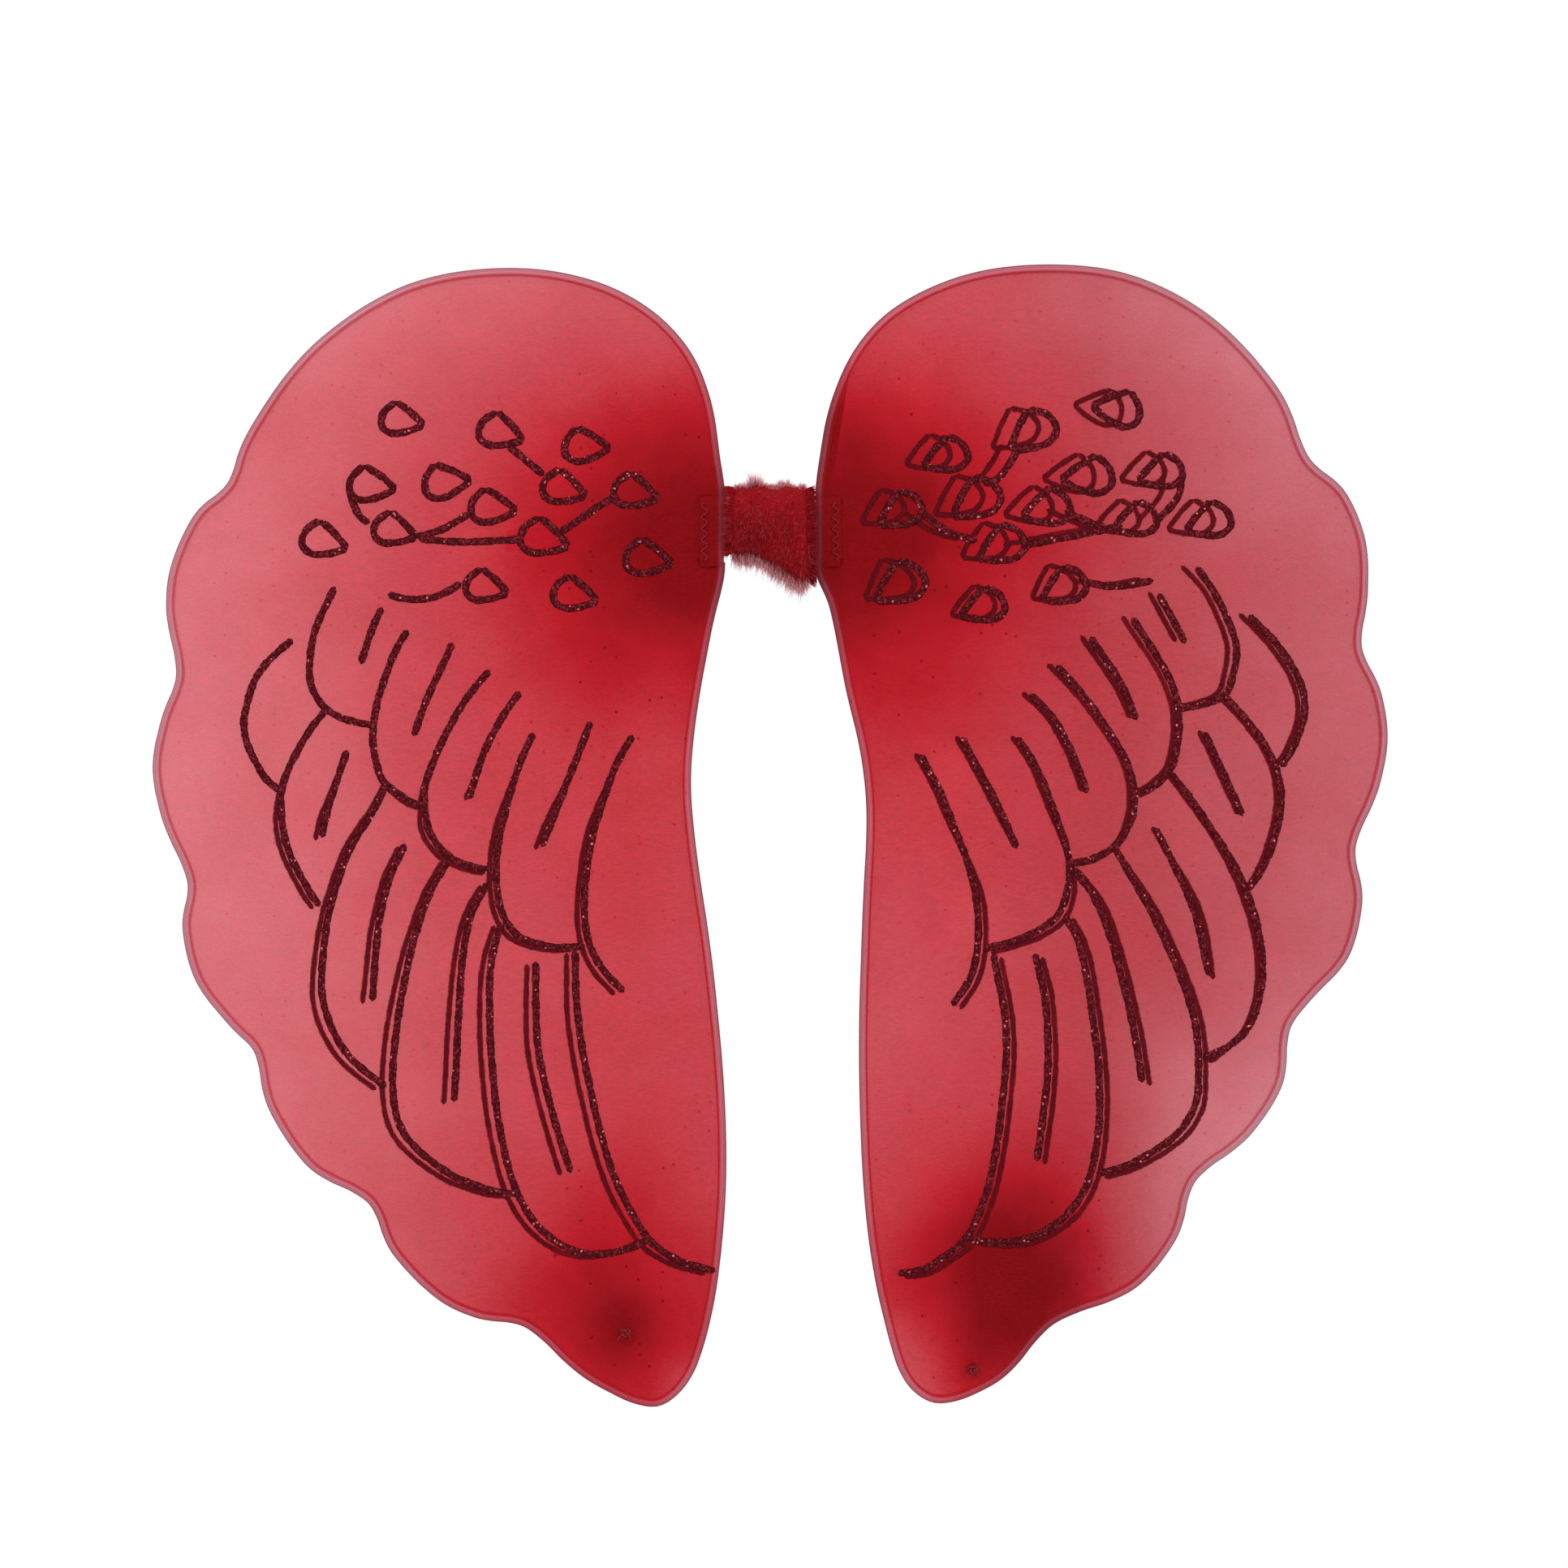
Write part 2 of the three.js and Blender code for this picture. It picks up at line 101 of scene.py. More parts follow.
LEFT_LINES = [
    [(65.7, 3.6), (63.9, 1.4), (62, 0.7)],
    [(38, 7.6), (31.6, 4.9)],
    [(18.8, 3.1), (21.7, 2.3), (28.8, -0.1)],
    [(35.4, -0.7), (47.2, -0.9), (53.5, -0.6)],
    [(44.6, 1.6), (49.3, 0.2), (54, -0.5)],
    [(58.9, -5.5), (55.7, -5.9), (51.4, -5.8), (48.6, -5.3), (46, -4.5)],
    [(75.5, -9.4), (80, -11.5), (82.2, -13.1), (83.4, -15), (84, -16.8), (83.4, -18.6),
     (81.9, -20.2), (80, -21.7), (77.5, -22.7)],
    [(68.1, -4.8), (71, -7.9), (72.1, -9.7), (72.5, -12.8), (71.5, -14.3), (69.7, -15.5),
     (67, -16.3), (61.2, -17)],
    [(59.9, -6.6), (61.6, -8.5), (63.6, -11.6)],
    [(55.4, -8.6), (57.2, -10.1), (59.8, -13.4), (60.8, -15.1), (61.5, -18.4), (61, -20),
     (59.8, -21.7), (55.4, -23.5), (52.5, -24.1)],
    [(69.7, -15.6), (72.1, -17.1), (75.5, -20), (76.9, -21.7), (77.5, -23.4), (76.6, -27.3),
     (72.8, -31.3), (70.7, -32.8)],
    [(66, -19.1), (69.5, -24.6), (70.4, -26.8)],
    [(47.5, -9.7), (52.4, -15.1), (54.4, -17.9)],
    [(41.1, -12.1), (45.8, -15.1), (50.4, -19.5), (52.4, -22.4), (52.4, -24.2), (51.8, -26),
     (50.4, -27.3), (48.2, -28.4), (45, -29.2), (40.8, -29.7)],
    [(59.2, -22), (60.9, -24), (65.2, -27.5), (67.8, -30.9), (69.5, -34.3), (70.4, -38.9),
     (70.3, -40.7), (69.4, -42.5), (68, -44.1), (66, -45.7), (63.6, -46.9), (59.1, -48.6)],
    [(55.8, -27.3), (58.5, -30.2), (59.8, -32.7), (60.5, -34.5), (61.6, -41.1)],
    [(35.8, -14), (39.2, -16.5), (41.8, -19), (44.8, -23.4)],
    [(48.2, -28.6), (51.6, -31.7), (55.1, -37.3), (57.9, -46.2), (57.6, -50.6), (56.2, -52.5),
     (53.8, -54), (50.7, -55.3), (46.9, -56.5), (42.9, -57.3), (39.4, -57.8), (35.8, -57.9)],
    [(33.4, -17.6), (35.7, -20.1), (39, -25.8), (39.9, -28.8), (39.9, -30.9), (38.8, -33.5),
     (36.3, -35.3), (31.6, -36.2), (27.5, -36.4), (24.4, -36.2)],
    [(41.4, -30.7), (43.9, -33), (45.5, -36.1), (47.3, -49.9)],
    [(23.4, -16.6), (32, -27.6)],
    [(16.1, -17.8), (18.7, -20.1), (21.2, -23.4), (23.4, -27.3), (24.4, -30.9), (24.5, -34),
     (23.5, -36.3), (21.2, -38.4), (17.6, -40.3)],
    [(26.2, -36.6), (25.9, -41.2), (24.9, -45.3), (21.2, -53.6), (18.7, -57.2), (15.6, -60.2),
     (12.6, -62.3), (7.9, -63.8), (1.6, -64.7)],
    [(39, -34.2), (40.8, -37.6), (40.8, -45.8), (38.8, -53.6), (35.7, -58.5), (31.6, -61.3),
     (26.5, -62.9), (21.2, -63.2), (16.1, -62.6), (13, -61.8)],
    [(33.1, -37.6), (32.6, -45.3), (29.5, -52), (26.9, -56.1)],
]
RIGHT_LINES = [
    [(18.6, 1.6), (23.1, 0), (28.3, -0.8)],
    [(35.9, -1.3), (53.7, 0.5)],
    [(43.5, 1.8), (50.6, 0.2)],
    [(35.9, 7.5), (31.8, 4.6), (29.3, 4.1)],
    [(63.9, 4.9), (63.4, 3.1), (59.4, 0.8)],
    [(47.1, -4.4), (51.6, -4.8), (59.1, -4.3)],
    [(75.7, -7.3), (81.3, -10.3), (84.8, -13.4), (85.4, -16), (83.3, -19), (81.3, -20.6)],
    [(66.5, -3.1), (69.5, -5.2), (72, -7.7), (73.6, -10.3), (72.9, -12.6), (71.6, -14.2),
     (67.9, -15.1), (63.4, -15.5)],
    [(59.9, -5.4), (64.7, -9.8)],
    [(55.3, -7.5), (61.9, -12.9), (63.4, -15.5), (63.4, -18), (61.9, -20.9), (58.8, -22.4),
     (56.1, -23.1)],
    [(71.6, -14.4), (76.1, -17), (79.2, -19.3), (81, -21.7), (81.3, -24.2), (79.7, -27.6),
     (77.6, -29.9), (75.4, -31.4)],
    [(67.9, -17.5), (74.7, -24.9)],
    [(48, -9.2), (53.7, -13.6), (56.1, -16.5)],
    [(42.1, -11.7), (46.6, -14.2), (50.6, -17), (54.3, -20.1), (55.7, -22.9), (55.3, -25),
     (52.7, -27.3), (48.7, -28.6), (44.6, -29)],
    [(62, -21.1), (66, -23.7), (73.6, -29.6), (75.7, -32), (77.2, -34.5), (78.1, -37.6),
     (77.6, -40.7), (75.7, -43.3), (72, -45.1), (67.5, -46.1)],
    [(59.4, -25.9), (66, -33), (68.8, -38.9)],
    [(37.4, -14.2), (41.5, -16.3), (45, -19.6), (47.5, -22.9)],
    [(52.2, -27.6), (59.4, -34), (65.4, -41.2), (66.8, -44.8), (66.9, -47.4), (66.5, -49.9),
     (63.9, -52.3), (58.8, -54.3), (53.7, -55.6), (49.1, -56.2)],
    [(35.2, -18), (38, -20.1), (40.5, -22.9), (44.3, -28.8), (44, -31.5), (42.1, -33.7),
     (37.4, -35.3), (29.3, -36.6)],
    [(45, -29.4), (48.7, -32), (51.2, -35), (55.3, -42.8), (57.1, -48.2)],
    [(25.5, -18), (31.8, -23.9), (35.2, -27.7)],
    [(18.3, -19.5), (21.7, -22.7), (24.6, -26.3), (27.3, -30.1), (28.4, -33.5), (28.3, -36.6),
     (27, -39.1), (23.9, -41.5)],
    [(31.1, -36.9), (33.2, -42.8), (33.3, -46.4), (31.2, -55.1), (29.3, -58.7), (26.4, -61.8),
     (22.1, -63.6), (18.6, -64.6), (14.2, -64.9)],
    [(43.5, -33.5), (46.1, -36.1), (48.8, -43.8), (49.6, -47.9), (49.5, -52.1), (48.4, -55.6),
     (46.6, -58), (43, -60.2), (37.4, -61.8), (32.3, -62.2), (26.7, -61.9)],
    [(38.3, -36.9), (39.9, -40.2), (40.6, -43.8), (40.5, -47.9), (38.7, -55.1)],
]
# Each petal is its top corner and then its tip
LEFT_PETALS = [
    (57.4, 11.4, 52.5, 9.3),
    (63, 5.8, 57.4, 3.7),
    (50.7, 5.9, 44.3, 4.5),
    (70.7, 1, 65.9, -1.5),
    (58.4, 1.8, 53.8, -0.5),
    (39.8, 10.5, 35.1, 8),
    (28.8, 5.5, 24.2, 3.1),
    (25.8, 9.1, 20, 7.3),
    (16.4, 5.2, 11.6, 2.8),
    (32.4, 1.3, 27.2, -1.3),
    (41.9, 3.8, 36.3, 1.8),
    (14.6, -0.6, 9.1, -2.8),
    (42.5, -3.2, 37.8, -5.4),
    (27.1, -3.8, 22.2, -6.1),
]
RIGHT_PETALS = [
    (37.1, 10.7, 34, 7.1),
    (23.1, 8.4, 18.8, 5.7),
    (14.6, 3.6, 11.1, 0.6),
    (27.6, 4.8, 23.9, 1.3),
    (32.5, 0.7, 28.4, -2.4),
    (41.2, 3.9, 36, 1.3),
    (49.1, 6.7, 42.8, 4.5),
    (55, 12.3, 48.2, 11),
    (60.9, 6.9, 56.3, 4.4),
    (56.4, 2.7, 51.9, 0.2),
    (69.1, 2.7, 64.6, 0),
    (14.5, -2.5, 10.3, -6),
    (43.3, -3, 39.4, -6),
    (29.7, -4.8, 25.3, -7.4),
]
# A petal's round side, from its tip to its top corner: shares of the distance between the
# two, along it and away from it
PETAL_ROUND = [(0, 0), (0.26, 0.45), (0.56, 0.75), (0.87, 0.76), (1.06, 0.46), (1, 0)]


# --- Sizes and colours ----------------------------------------------------------------------


def length(name, description, default):
    """A length property in metres."""
    return bpy.props.FloatProperty(
        name=name, description=description, default=default, min=0.0, unit="LENGTH", precision=5
    )


def colour(name, description, default):
    """A linear colour property."""
    return bpy.props.FloatVectorProperty(
        name=name, description=description, default=default, size=3, subtype="COLOR", min=0, max=1
    )


class FairyWingSizes(bpy.types.PropertyGroup):
    """Sizes of the pieces that finish the frame."""

    wire_radius: length("Wire radius", "Half the thickness of the wing wires", 1.0 * MM)
    rim_radius: length("Rim radius", "How far the net stands off round the wire", 1.85 * MM)
    layer_gap: length("Layer gap", "Half the distance between a wing's two layers", 0.45 * MM)
    glitter_width: length("Glitter width", "Width of a line of glitter glue", 3.0 * MM)
    glitter_height: length("Glitter height", "Height of a line of glitter glue", 0.55 * MM)
    print_width: length("Print width", "Width of the line that soaked to the back layer", 2.7 * MM)
    fringe_length: length("Fringe length", "Length of the longest plume barbs", 5.6 * MM)
    barb_radius: length("Barb radius", "Half the thickness of a barb at its root", 0.20 * MM)
    thread_radius: length("Thread radius", "Half the thickness of the sewing thread", 0.35 * MM)
    strap_width: length("Strap width", "Width of the elastic", 8.0 * MM)
    strap_thickness: length("Strap thickness", "Thickness of the elastic", 1.0 * MM)


class FairyWingColours(bpy.types.PropertyGroup):
    """Colours of the finishes."""

    net_light: colour("Net, light", "The thinly dyed net", (0.87, 0.052, 0.108))
    net_middle: colour("Net, middle", "The evenly dyed net", (0.72, 0.027, 0.058))
    net_deep: colour("Net, deep", "The net where the dye gathered", (0.26, 0.0024, 0.0052))
    glitter: colour("Glitter", "The glitter glue", (0.062, 0.002, 0.005))
    flake_glint: colour("Sparkle", "The brighter flakes in the glue", (0.50, 0.055, 0.07))
    # Painted glint: the bright red that a few glitter flakes are painted, in place of the light
    # that they catch.
    plume: colour("Plume", "The wrap's plumes", (0.30, 0.005, 0.010))
    plume_tip: colour("Plume tip", "The pale ends of the plumes", (0.86, 0.42, 0.46))
    felt: colour("Felt", "The patch at the back", (0.24, 0.012, 0.022))
    elastic: colour("Elastic", "The arm straps", (0.80, 0.78, 0.77))
    thread: colour("Thread", "The sewing thread", (0.30, 0.008, 0.016))
    tape: colour("Tape", "The tape round the bridge wires", (0.22, 0.008, 0.015))
    wire: colour("Wire", "The spring wire", (0.80, 0.74, 0.78))


def sizes():
    return bpy.context.scene.fairy_wing_sizes


def colours():
    return bpy.context.scene.fairy_wing_colours


# --- Surfaces -------------------------------------------------------------------------------


def grid(points, close_rows=False, close_columns=False, u=None, v=None):
    """Quads over a grid of points, shaped rows by columns by 3, as one part.

    u runs over the rows and v over the columns, and both give the UV map in metres or turns.
    """
    rows, columns = points.shape[:2]
    i = np.arange(rows if close_rows else rows - 1)
    j = np.arange(columns if close_columns else columns - 1)
    a, b = np.meshgrid(i, j, indexing="ij")
    a2 = (a + 1) % rows
    b2 = (b + 1) % columns
    quads = np.stack(
        [a * columns + b, a2 * columns + b, a2 * columns + b2, a * columns + b2], axis=-1
    ).reshape(-1, 4)
    u = np.arange(rows + 1) / rows if u is None else np.append(u, 2 * u[-1] - u[-2])
    v = np.arange(columns + 1) / columns if v is None else np.append(v, 2 * v[-1] - v[-2])
    corners = [(u[a], v[b]), (u[a + 1], v[b]), (u[a + 1], v[b + 1]), (u[a], v[b + 1])]
    uv = np.stack([np.stack(c, axis=-1).reshape(-1, 2) for c in corners], axis=1)
    return {
        "points": points.reshape(-1, 3),
        "quads": quads,
        "quad_uv": uv,
        "triangles": np.zeros((0, 3), int),
        "triangle_uv": np.zeros((0, 3, 2)),
    }


def fan(part, ring, pole, uv=(0.0, 0.0)):
    """The part with a ring of its points closed by a fan to one more point, the pole."""
    top = len(part["points"])
    following = np.roll(ring, -1)
    triangles = np.stack([ring, following, np.full(len(ring), top)], axis=-1)
    part["points"] = np.vstack([part["points"], pole])
    part["triangles"] = np.vstack([part["triangles"], triangles])
    flat = np.tile(np.array(uv, float), (len(ring), 3, 1))
    part["triangle_uv"] = np.concatenate([part["triangle_uv"], flat])
    return part


def rod(points, u, poles=None):
    """A surface whose rows are closed rings. A fan closes each end, at its middle or its pole."""
    part = grid(points, close_columns=True, u=u)
    rows, sides = points.shape[:2]
    first, last = poles or [points[end].mean(axis=0) for end in (0, -1)]
    ring = np.arange(sides)
    fan(part, ring, first)
    fan(part, ring[::-1] + (rows - 1) * sides, last)
    return outward(part)


def disc(points, first, last):
    """A surface whose columns are closed rings, with a fan from each outer column to a pole."""
    part = grid(points, close_rows=True)
    rows, columns = points.shape[:2]
    ring = np.arange(rows) * columns
    fan(part, ring[::-1], first)
    fan(part, ring + columns - 1, last)
    return outward(part)


def places(x, y, z):
    """Points from their three coordinates, each of which is spread to the others' shape."""
    return np.stack(np.broadcast_arrays(x, y, z), axis=-1)


def outward(part):
    """The part with its faces pointing out: turned round if the volume they enclose is negative."""
    p, q, t = part["points"], part["quads"], part["triangles"]
    split = np.vstack([q[:, [0, 1, 2]], q[:, [0, 2, 3]], t])
    inside = np.einsum("ij,ij->i", p[split[:, 0]], np.cross(p[split[:, 1]], p[split[:, 2]])).sum()
    if inside < 0:
        part["quads"] = q[:, ::-1]
        part["quad_uv"] = part["quad_uv"][:, ::-1]
        part["triangles"] = t[:, ::-1]
        part["triangle_uv"] = part["triangle_uv"][:, ::-1]
    return part


def join(parts):
    """Several parts as one."""
    shift = np.cumsum([0] + [len(p["points"]) for p in parts[:-1]])
    return {
        "points": np.vstack([p["points"] for p in parts]),
        "quads": np.vstack([p["quads"] + s for p, s in zip(parts, shift)]),
        "quad_uv": np.concatenate([p["quad_uv"] for p in parts]),
        "triangles": np.vstack([p["triangles"] + s for p, s in zip(parts, shift)]),
        "triangle_uv": np.concatenate([p["triangle_uv"] for p in parts]),
    }


def piece(name, part, look, body, slot, stands_for=(), attributes=None):
    """The part in the named finish, with its body, and the nodes that it stands for. The slot is
    not used.
    """
    obj = mesh_object(name, part, finish(look), attributes)
    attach(obj, body)
    if stands_for:
        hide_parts(*stands_for)
    return obj


def mesh_object(name, part, material, attributes=None):
    """The part as a smooth shaded object with its UV map, point values and material."""
    mesh = bpy.data.meshes.new(name)
    faces = part["quads"].tolist() + part["triangles"].tolist()
    mesh.from_pydata(part["points"].tolist(), [], faces)
    uv = np.concatenate([part["quad_uv"].reshape(-1, 2), part["triangle_uv"].reshape(-1, 2)])
    mesh.uv_layers.new(name="surface").data.foreach_set("uv", uv.ravel())
    for key, values in (attributes or {}).items():
        layer = mesh.attributes.new(key, "FLOAT", "POINT")
        layer.data.foreach_set("value", np.asarray(values, np.float32).ravel())
    mesh.shade_smooth()
    mesh.validate()
    mesh.materials.append(material)
    obj = bpy.data.objects.new(name, mesh)
    bpy.context.scene.collection.objects.link(obj)
    return obj


def unit(vectors):
    """Vectors scaled to a length of 1."""
    return vectors / np.maximum(np.linalg.norm(vectors, axis=-1, keepdims=True), 1e-12)


def along(points, closed=False):
    """The unit direction of travel at each point of a line: the difference of its neighbours."""
    if closed:
        return unit(np.roll(points, -1, axis=-2) - np.roll(points, 1, axis=-2))
    return unit(np.gradient(points, axis=-2))


def round_turn(count):
    """Angles evenly round one whole turn, from 0."""
    return np.linspace(0, 2 * math.pi, count, endpoint=False)


def travel(points):
    """The distance travelled along a line at each of its points."""
    steps = np.linalg.norm(np.diff(points, axis=0), axis=1)
    return np.concatenate([[0.0], np.cumsum(steps)])


def tube(path, radius, sides=12, closed=False, up=(0, 0, 1)):
    """A round rod carried along a path, closed by a pole at each end.

    Each ring stands square to the path: its points are the path's point plus the radius
    times cos of an angle across, and times sin of it along the up side.
    """
    path = np.asarray(path, float)
    ahead = along(path, closed)
    across = unit(np.cross(np.asarray(up, float), ahead))
    above = np.cross(ahead, across)
    radius = np.broadcast_to(radius, (len(path),))[:, None, None]
    angle = round_turn(sides)
    ring = np.cos(angle)[None, :, None] * across[:, None, :]
    ring = ring + np.sin(angle)[None, :, None] * above[:, None, :]
    points = path[:, None, :] + radius * ring
    if closed:
        return outward(grid(points, close_rows=True, close_columns=True, u=travel(path)))
    bulge = 0.35 * radius[[0, -1], 0] * ahead[[0, -1]]
    return rod(points, travel(path), (path[0] - bulge[0], path[-1] + bulge[1]))


def smooth_line(points, spacing, closed=False):
    """A line through the points, resampled at an even spacing.

    Each span is a centripetal Catmull-Rom cubic: a Hermite cubic whose end slopes come from
    the neighbouring points, with the knots set by the square root of the distances.
    """
    p = np.asarray(points, float)
    if closed:
        p = np.vstack([p[-1:], p, p[:2]])
    else:
        p = np.vstack([2 * p[:1] - p[1:2], p, 2 * p[-1:] - p[-2:-1]])
    knot = np.sqrt(np.maximum(np.linalg.norm(np.diff(p, axis=0), axis=1), 1e-9))[:, None]
    slope = np.diff(p, axis=0) / knot
    d0, d1, d2 = knot[:-2], knot[1:-1], knot[2:]
    chord = p[2:-1] - p[1:-2]
    m1 = d1 * (slope[:-2] - (p[2:-1] - p[:-3]) / (d0 + d1) + slope[1:-1])
    m2 = d1 * (slope[1:-1] - (p[3:] - p[1:-2]) / (d1 + d2) + slope[2:])
    t = np.linspace(0, 1, 24, endpoint=False)[None, :, None]
    start = p[1:-2][:, None, :]
    cubic = (
        start
        + m1[:, None] * t
        + (3 * chord - 2 * m1 - m2)[:, None] * t**2
        + (m1 + m2 - 2 * chord)[:, None] * t**3
    )
    fine = np.vstack([cubic.reshape(-1, p.shape[1]), p[-2:-1]])
    way = travel(fine)
    count = max(int(round(way[-1] / spacing)), 3)
    mark = np.linspace(0, way[-1], count + 1)
    if closed:
        mark = mark[:-1]
    return np.stack([np.interp(mark, way, fine[:, k]) for k in range(p.shape[1])], axis=1)


def bell(value, middle, width):
    """1 at the middle, falling as the exponential of minus the square of the distance in widths."""
    return np.exp(-(((value - middle) / width) ** 2))


def ease(value, low, high):
    """0 below low, 1 above high, with a smooth turn in between. low may be above high."""
    t = np.clip((np.asarray(value, float) - low) / (high - low), 0, 1)
    return t * t * (3 - 2 * t)


# --- Finishes -------------------------------------------------------------------------------


def node(tree, kind, inputs=None, **settings):
    """A node of that kind. Inputs are given by name or number: a value, or a socket to link."""
    made = tree.nodes.new(kind)
    for key, value in settings.items():
        setattr(made, key, value)
    for key, value in (inputs or {}).items():
        if isinstance(value, bpy.types.NodeSocket):
            tree.links.new(value, made.inputs[key])
        else:
            made.inputs[key].default_value = value
    return made


def maths(tree, operation, first, second=0.0, third=0.0, clamp=False):
    """The result of a Math node."""
    inputs = {0: first, 1: second, 2: third}
    return node(tree, "ShaderNodeMath", inputs, operation=operation, use_clamp=clamp).outputs[0]


def spread(tree, value, low, high, to_low=0.0, to_high=1.0):
    """The value mapped smoothly from low..high to to_low..to_high, and held at both ends."""
    inputs = {"Value": value, 1: low, 2: high, 3: to_low, 4: to_high}
    made = node(tree, "ShaderNodeMapRange", inputs, interpolation_type="SMOOTHSTEP")
    return made.outputs["Result"]


def blend(tree, amount, first, second, mode="MIX"):
    """Two colours mixed by an amount."""
    inputs = {0: amount, 6: full(first), 7: full(second)}
    return node(tree, "ShaderNodeMix", inputs, data_type="RGBA", blend_type=mode).outputs[2]


def full(tone):
    """A colour with its alpha, or a socket as it is."""
    return tone if isinstance(tone, bpy.types.NodeSocket) else (*tuple(tone)[:3], 1.0)


def shades(tree, amount, tone, dark, light=1.0):
    """A colour times one number, blended by an amount to the colour times another."""
    return blend(tree, amount, [c * dark for c in tone], [c * light for c in tone])


def noise(tree, vector, scale, detail, roughness=0.5, distortion=0.0):
    """The value of a Noise texture."""
    given = {"Vector": vector, "Scale": scale, "Detail": detail}
    given.update({"Roughness": roughness, "Distortion": distortion})
    return node(tree, "ShaderNodeTexNoise", given).outputs["Fac"]


def vector_maths(tree, operation, first, second):
    """The node that works on two vectors."""
    return node(tree, "ShaderNodeVectorMath", {0: first, 1: second}, operation=operation)


def ramp(tree, value, stops):
    """A colour ramp over the value, from stops of (place, colour)."""
    made = node(tree, "ShaderNodeValToRGB", {"Fac": value})
    elements = made.color_ramp.elements
    for element, (place, tone) in zip(elements, (stops[0], stops[-1])):
        element.position = place
        element.color = full(tone)
    for place, tone in stops[1:-1]:
        elements.new(place).color = full(tone)
    return made.outputs["Color"]


def place_of(tree):
    """Object coordinates, which are the piece's own place in metres."""
    return node(tree, "ShaderNodeTexCoord").outputs["Object"]


def surface_of(tree):
    """The piece's UV map, in metres along and turns round."""
    return node(tree, "ShaderNodeUVMap", uv_map="surface").outputs["UV"]


def stretched(tree, vector, scale):
    """The vector scaled by three numbers."""
    inputs = {"Vector": vector, "Scale": scale}
    return node(tree, "ShaderNodeMapping", inputs, vector_type="POINT").outputs["Vector"]


def group(name, inputs, outputs):
    """A new shader node group. Inputs and outputs list (name, socket kind, default)."""
    tree = bpy.data.node_groups.new(name, "ShaderNodeTree")
    for title, kind, default in inputs:
        socket = tree.interface.new_socket(title, in_out="INPUT", socket_type=kind)
        if default is not None:
            socket.default_value = default
    for title, kind in outputs:
        tree.interface.new_socket(title, in_out="OUTPUT", socket_type=kind)
    return tree, tree.nodes.new("NodeGroupInput"), tree.nodes.new("NodeGroupOutput")


def place_group(tree, name, inputs):
    """A group node in a material, with its inputs set or linked by name."""
    kept = bpy.data.node_groups[name]
    return node(tree, "ShaderNodeGroup", inputs, node_tree=kept).outputs


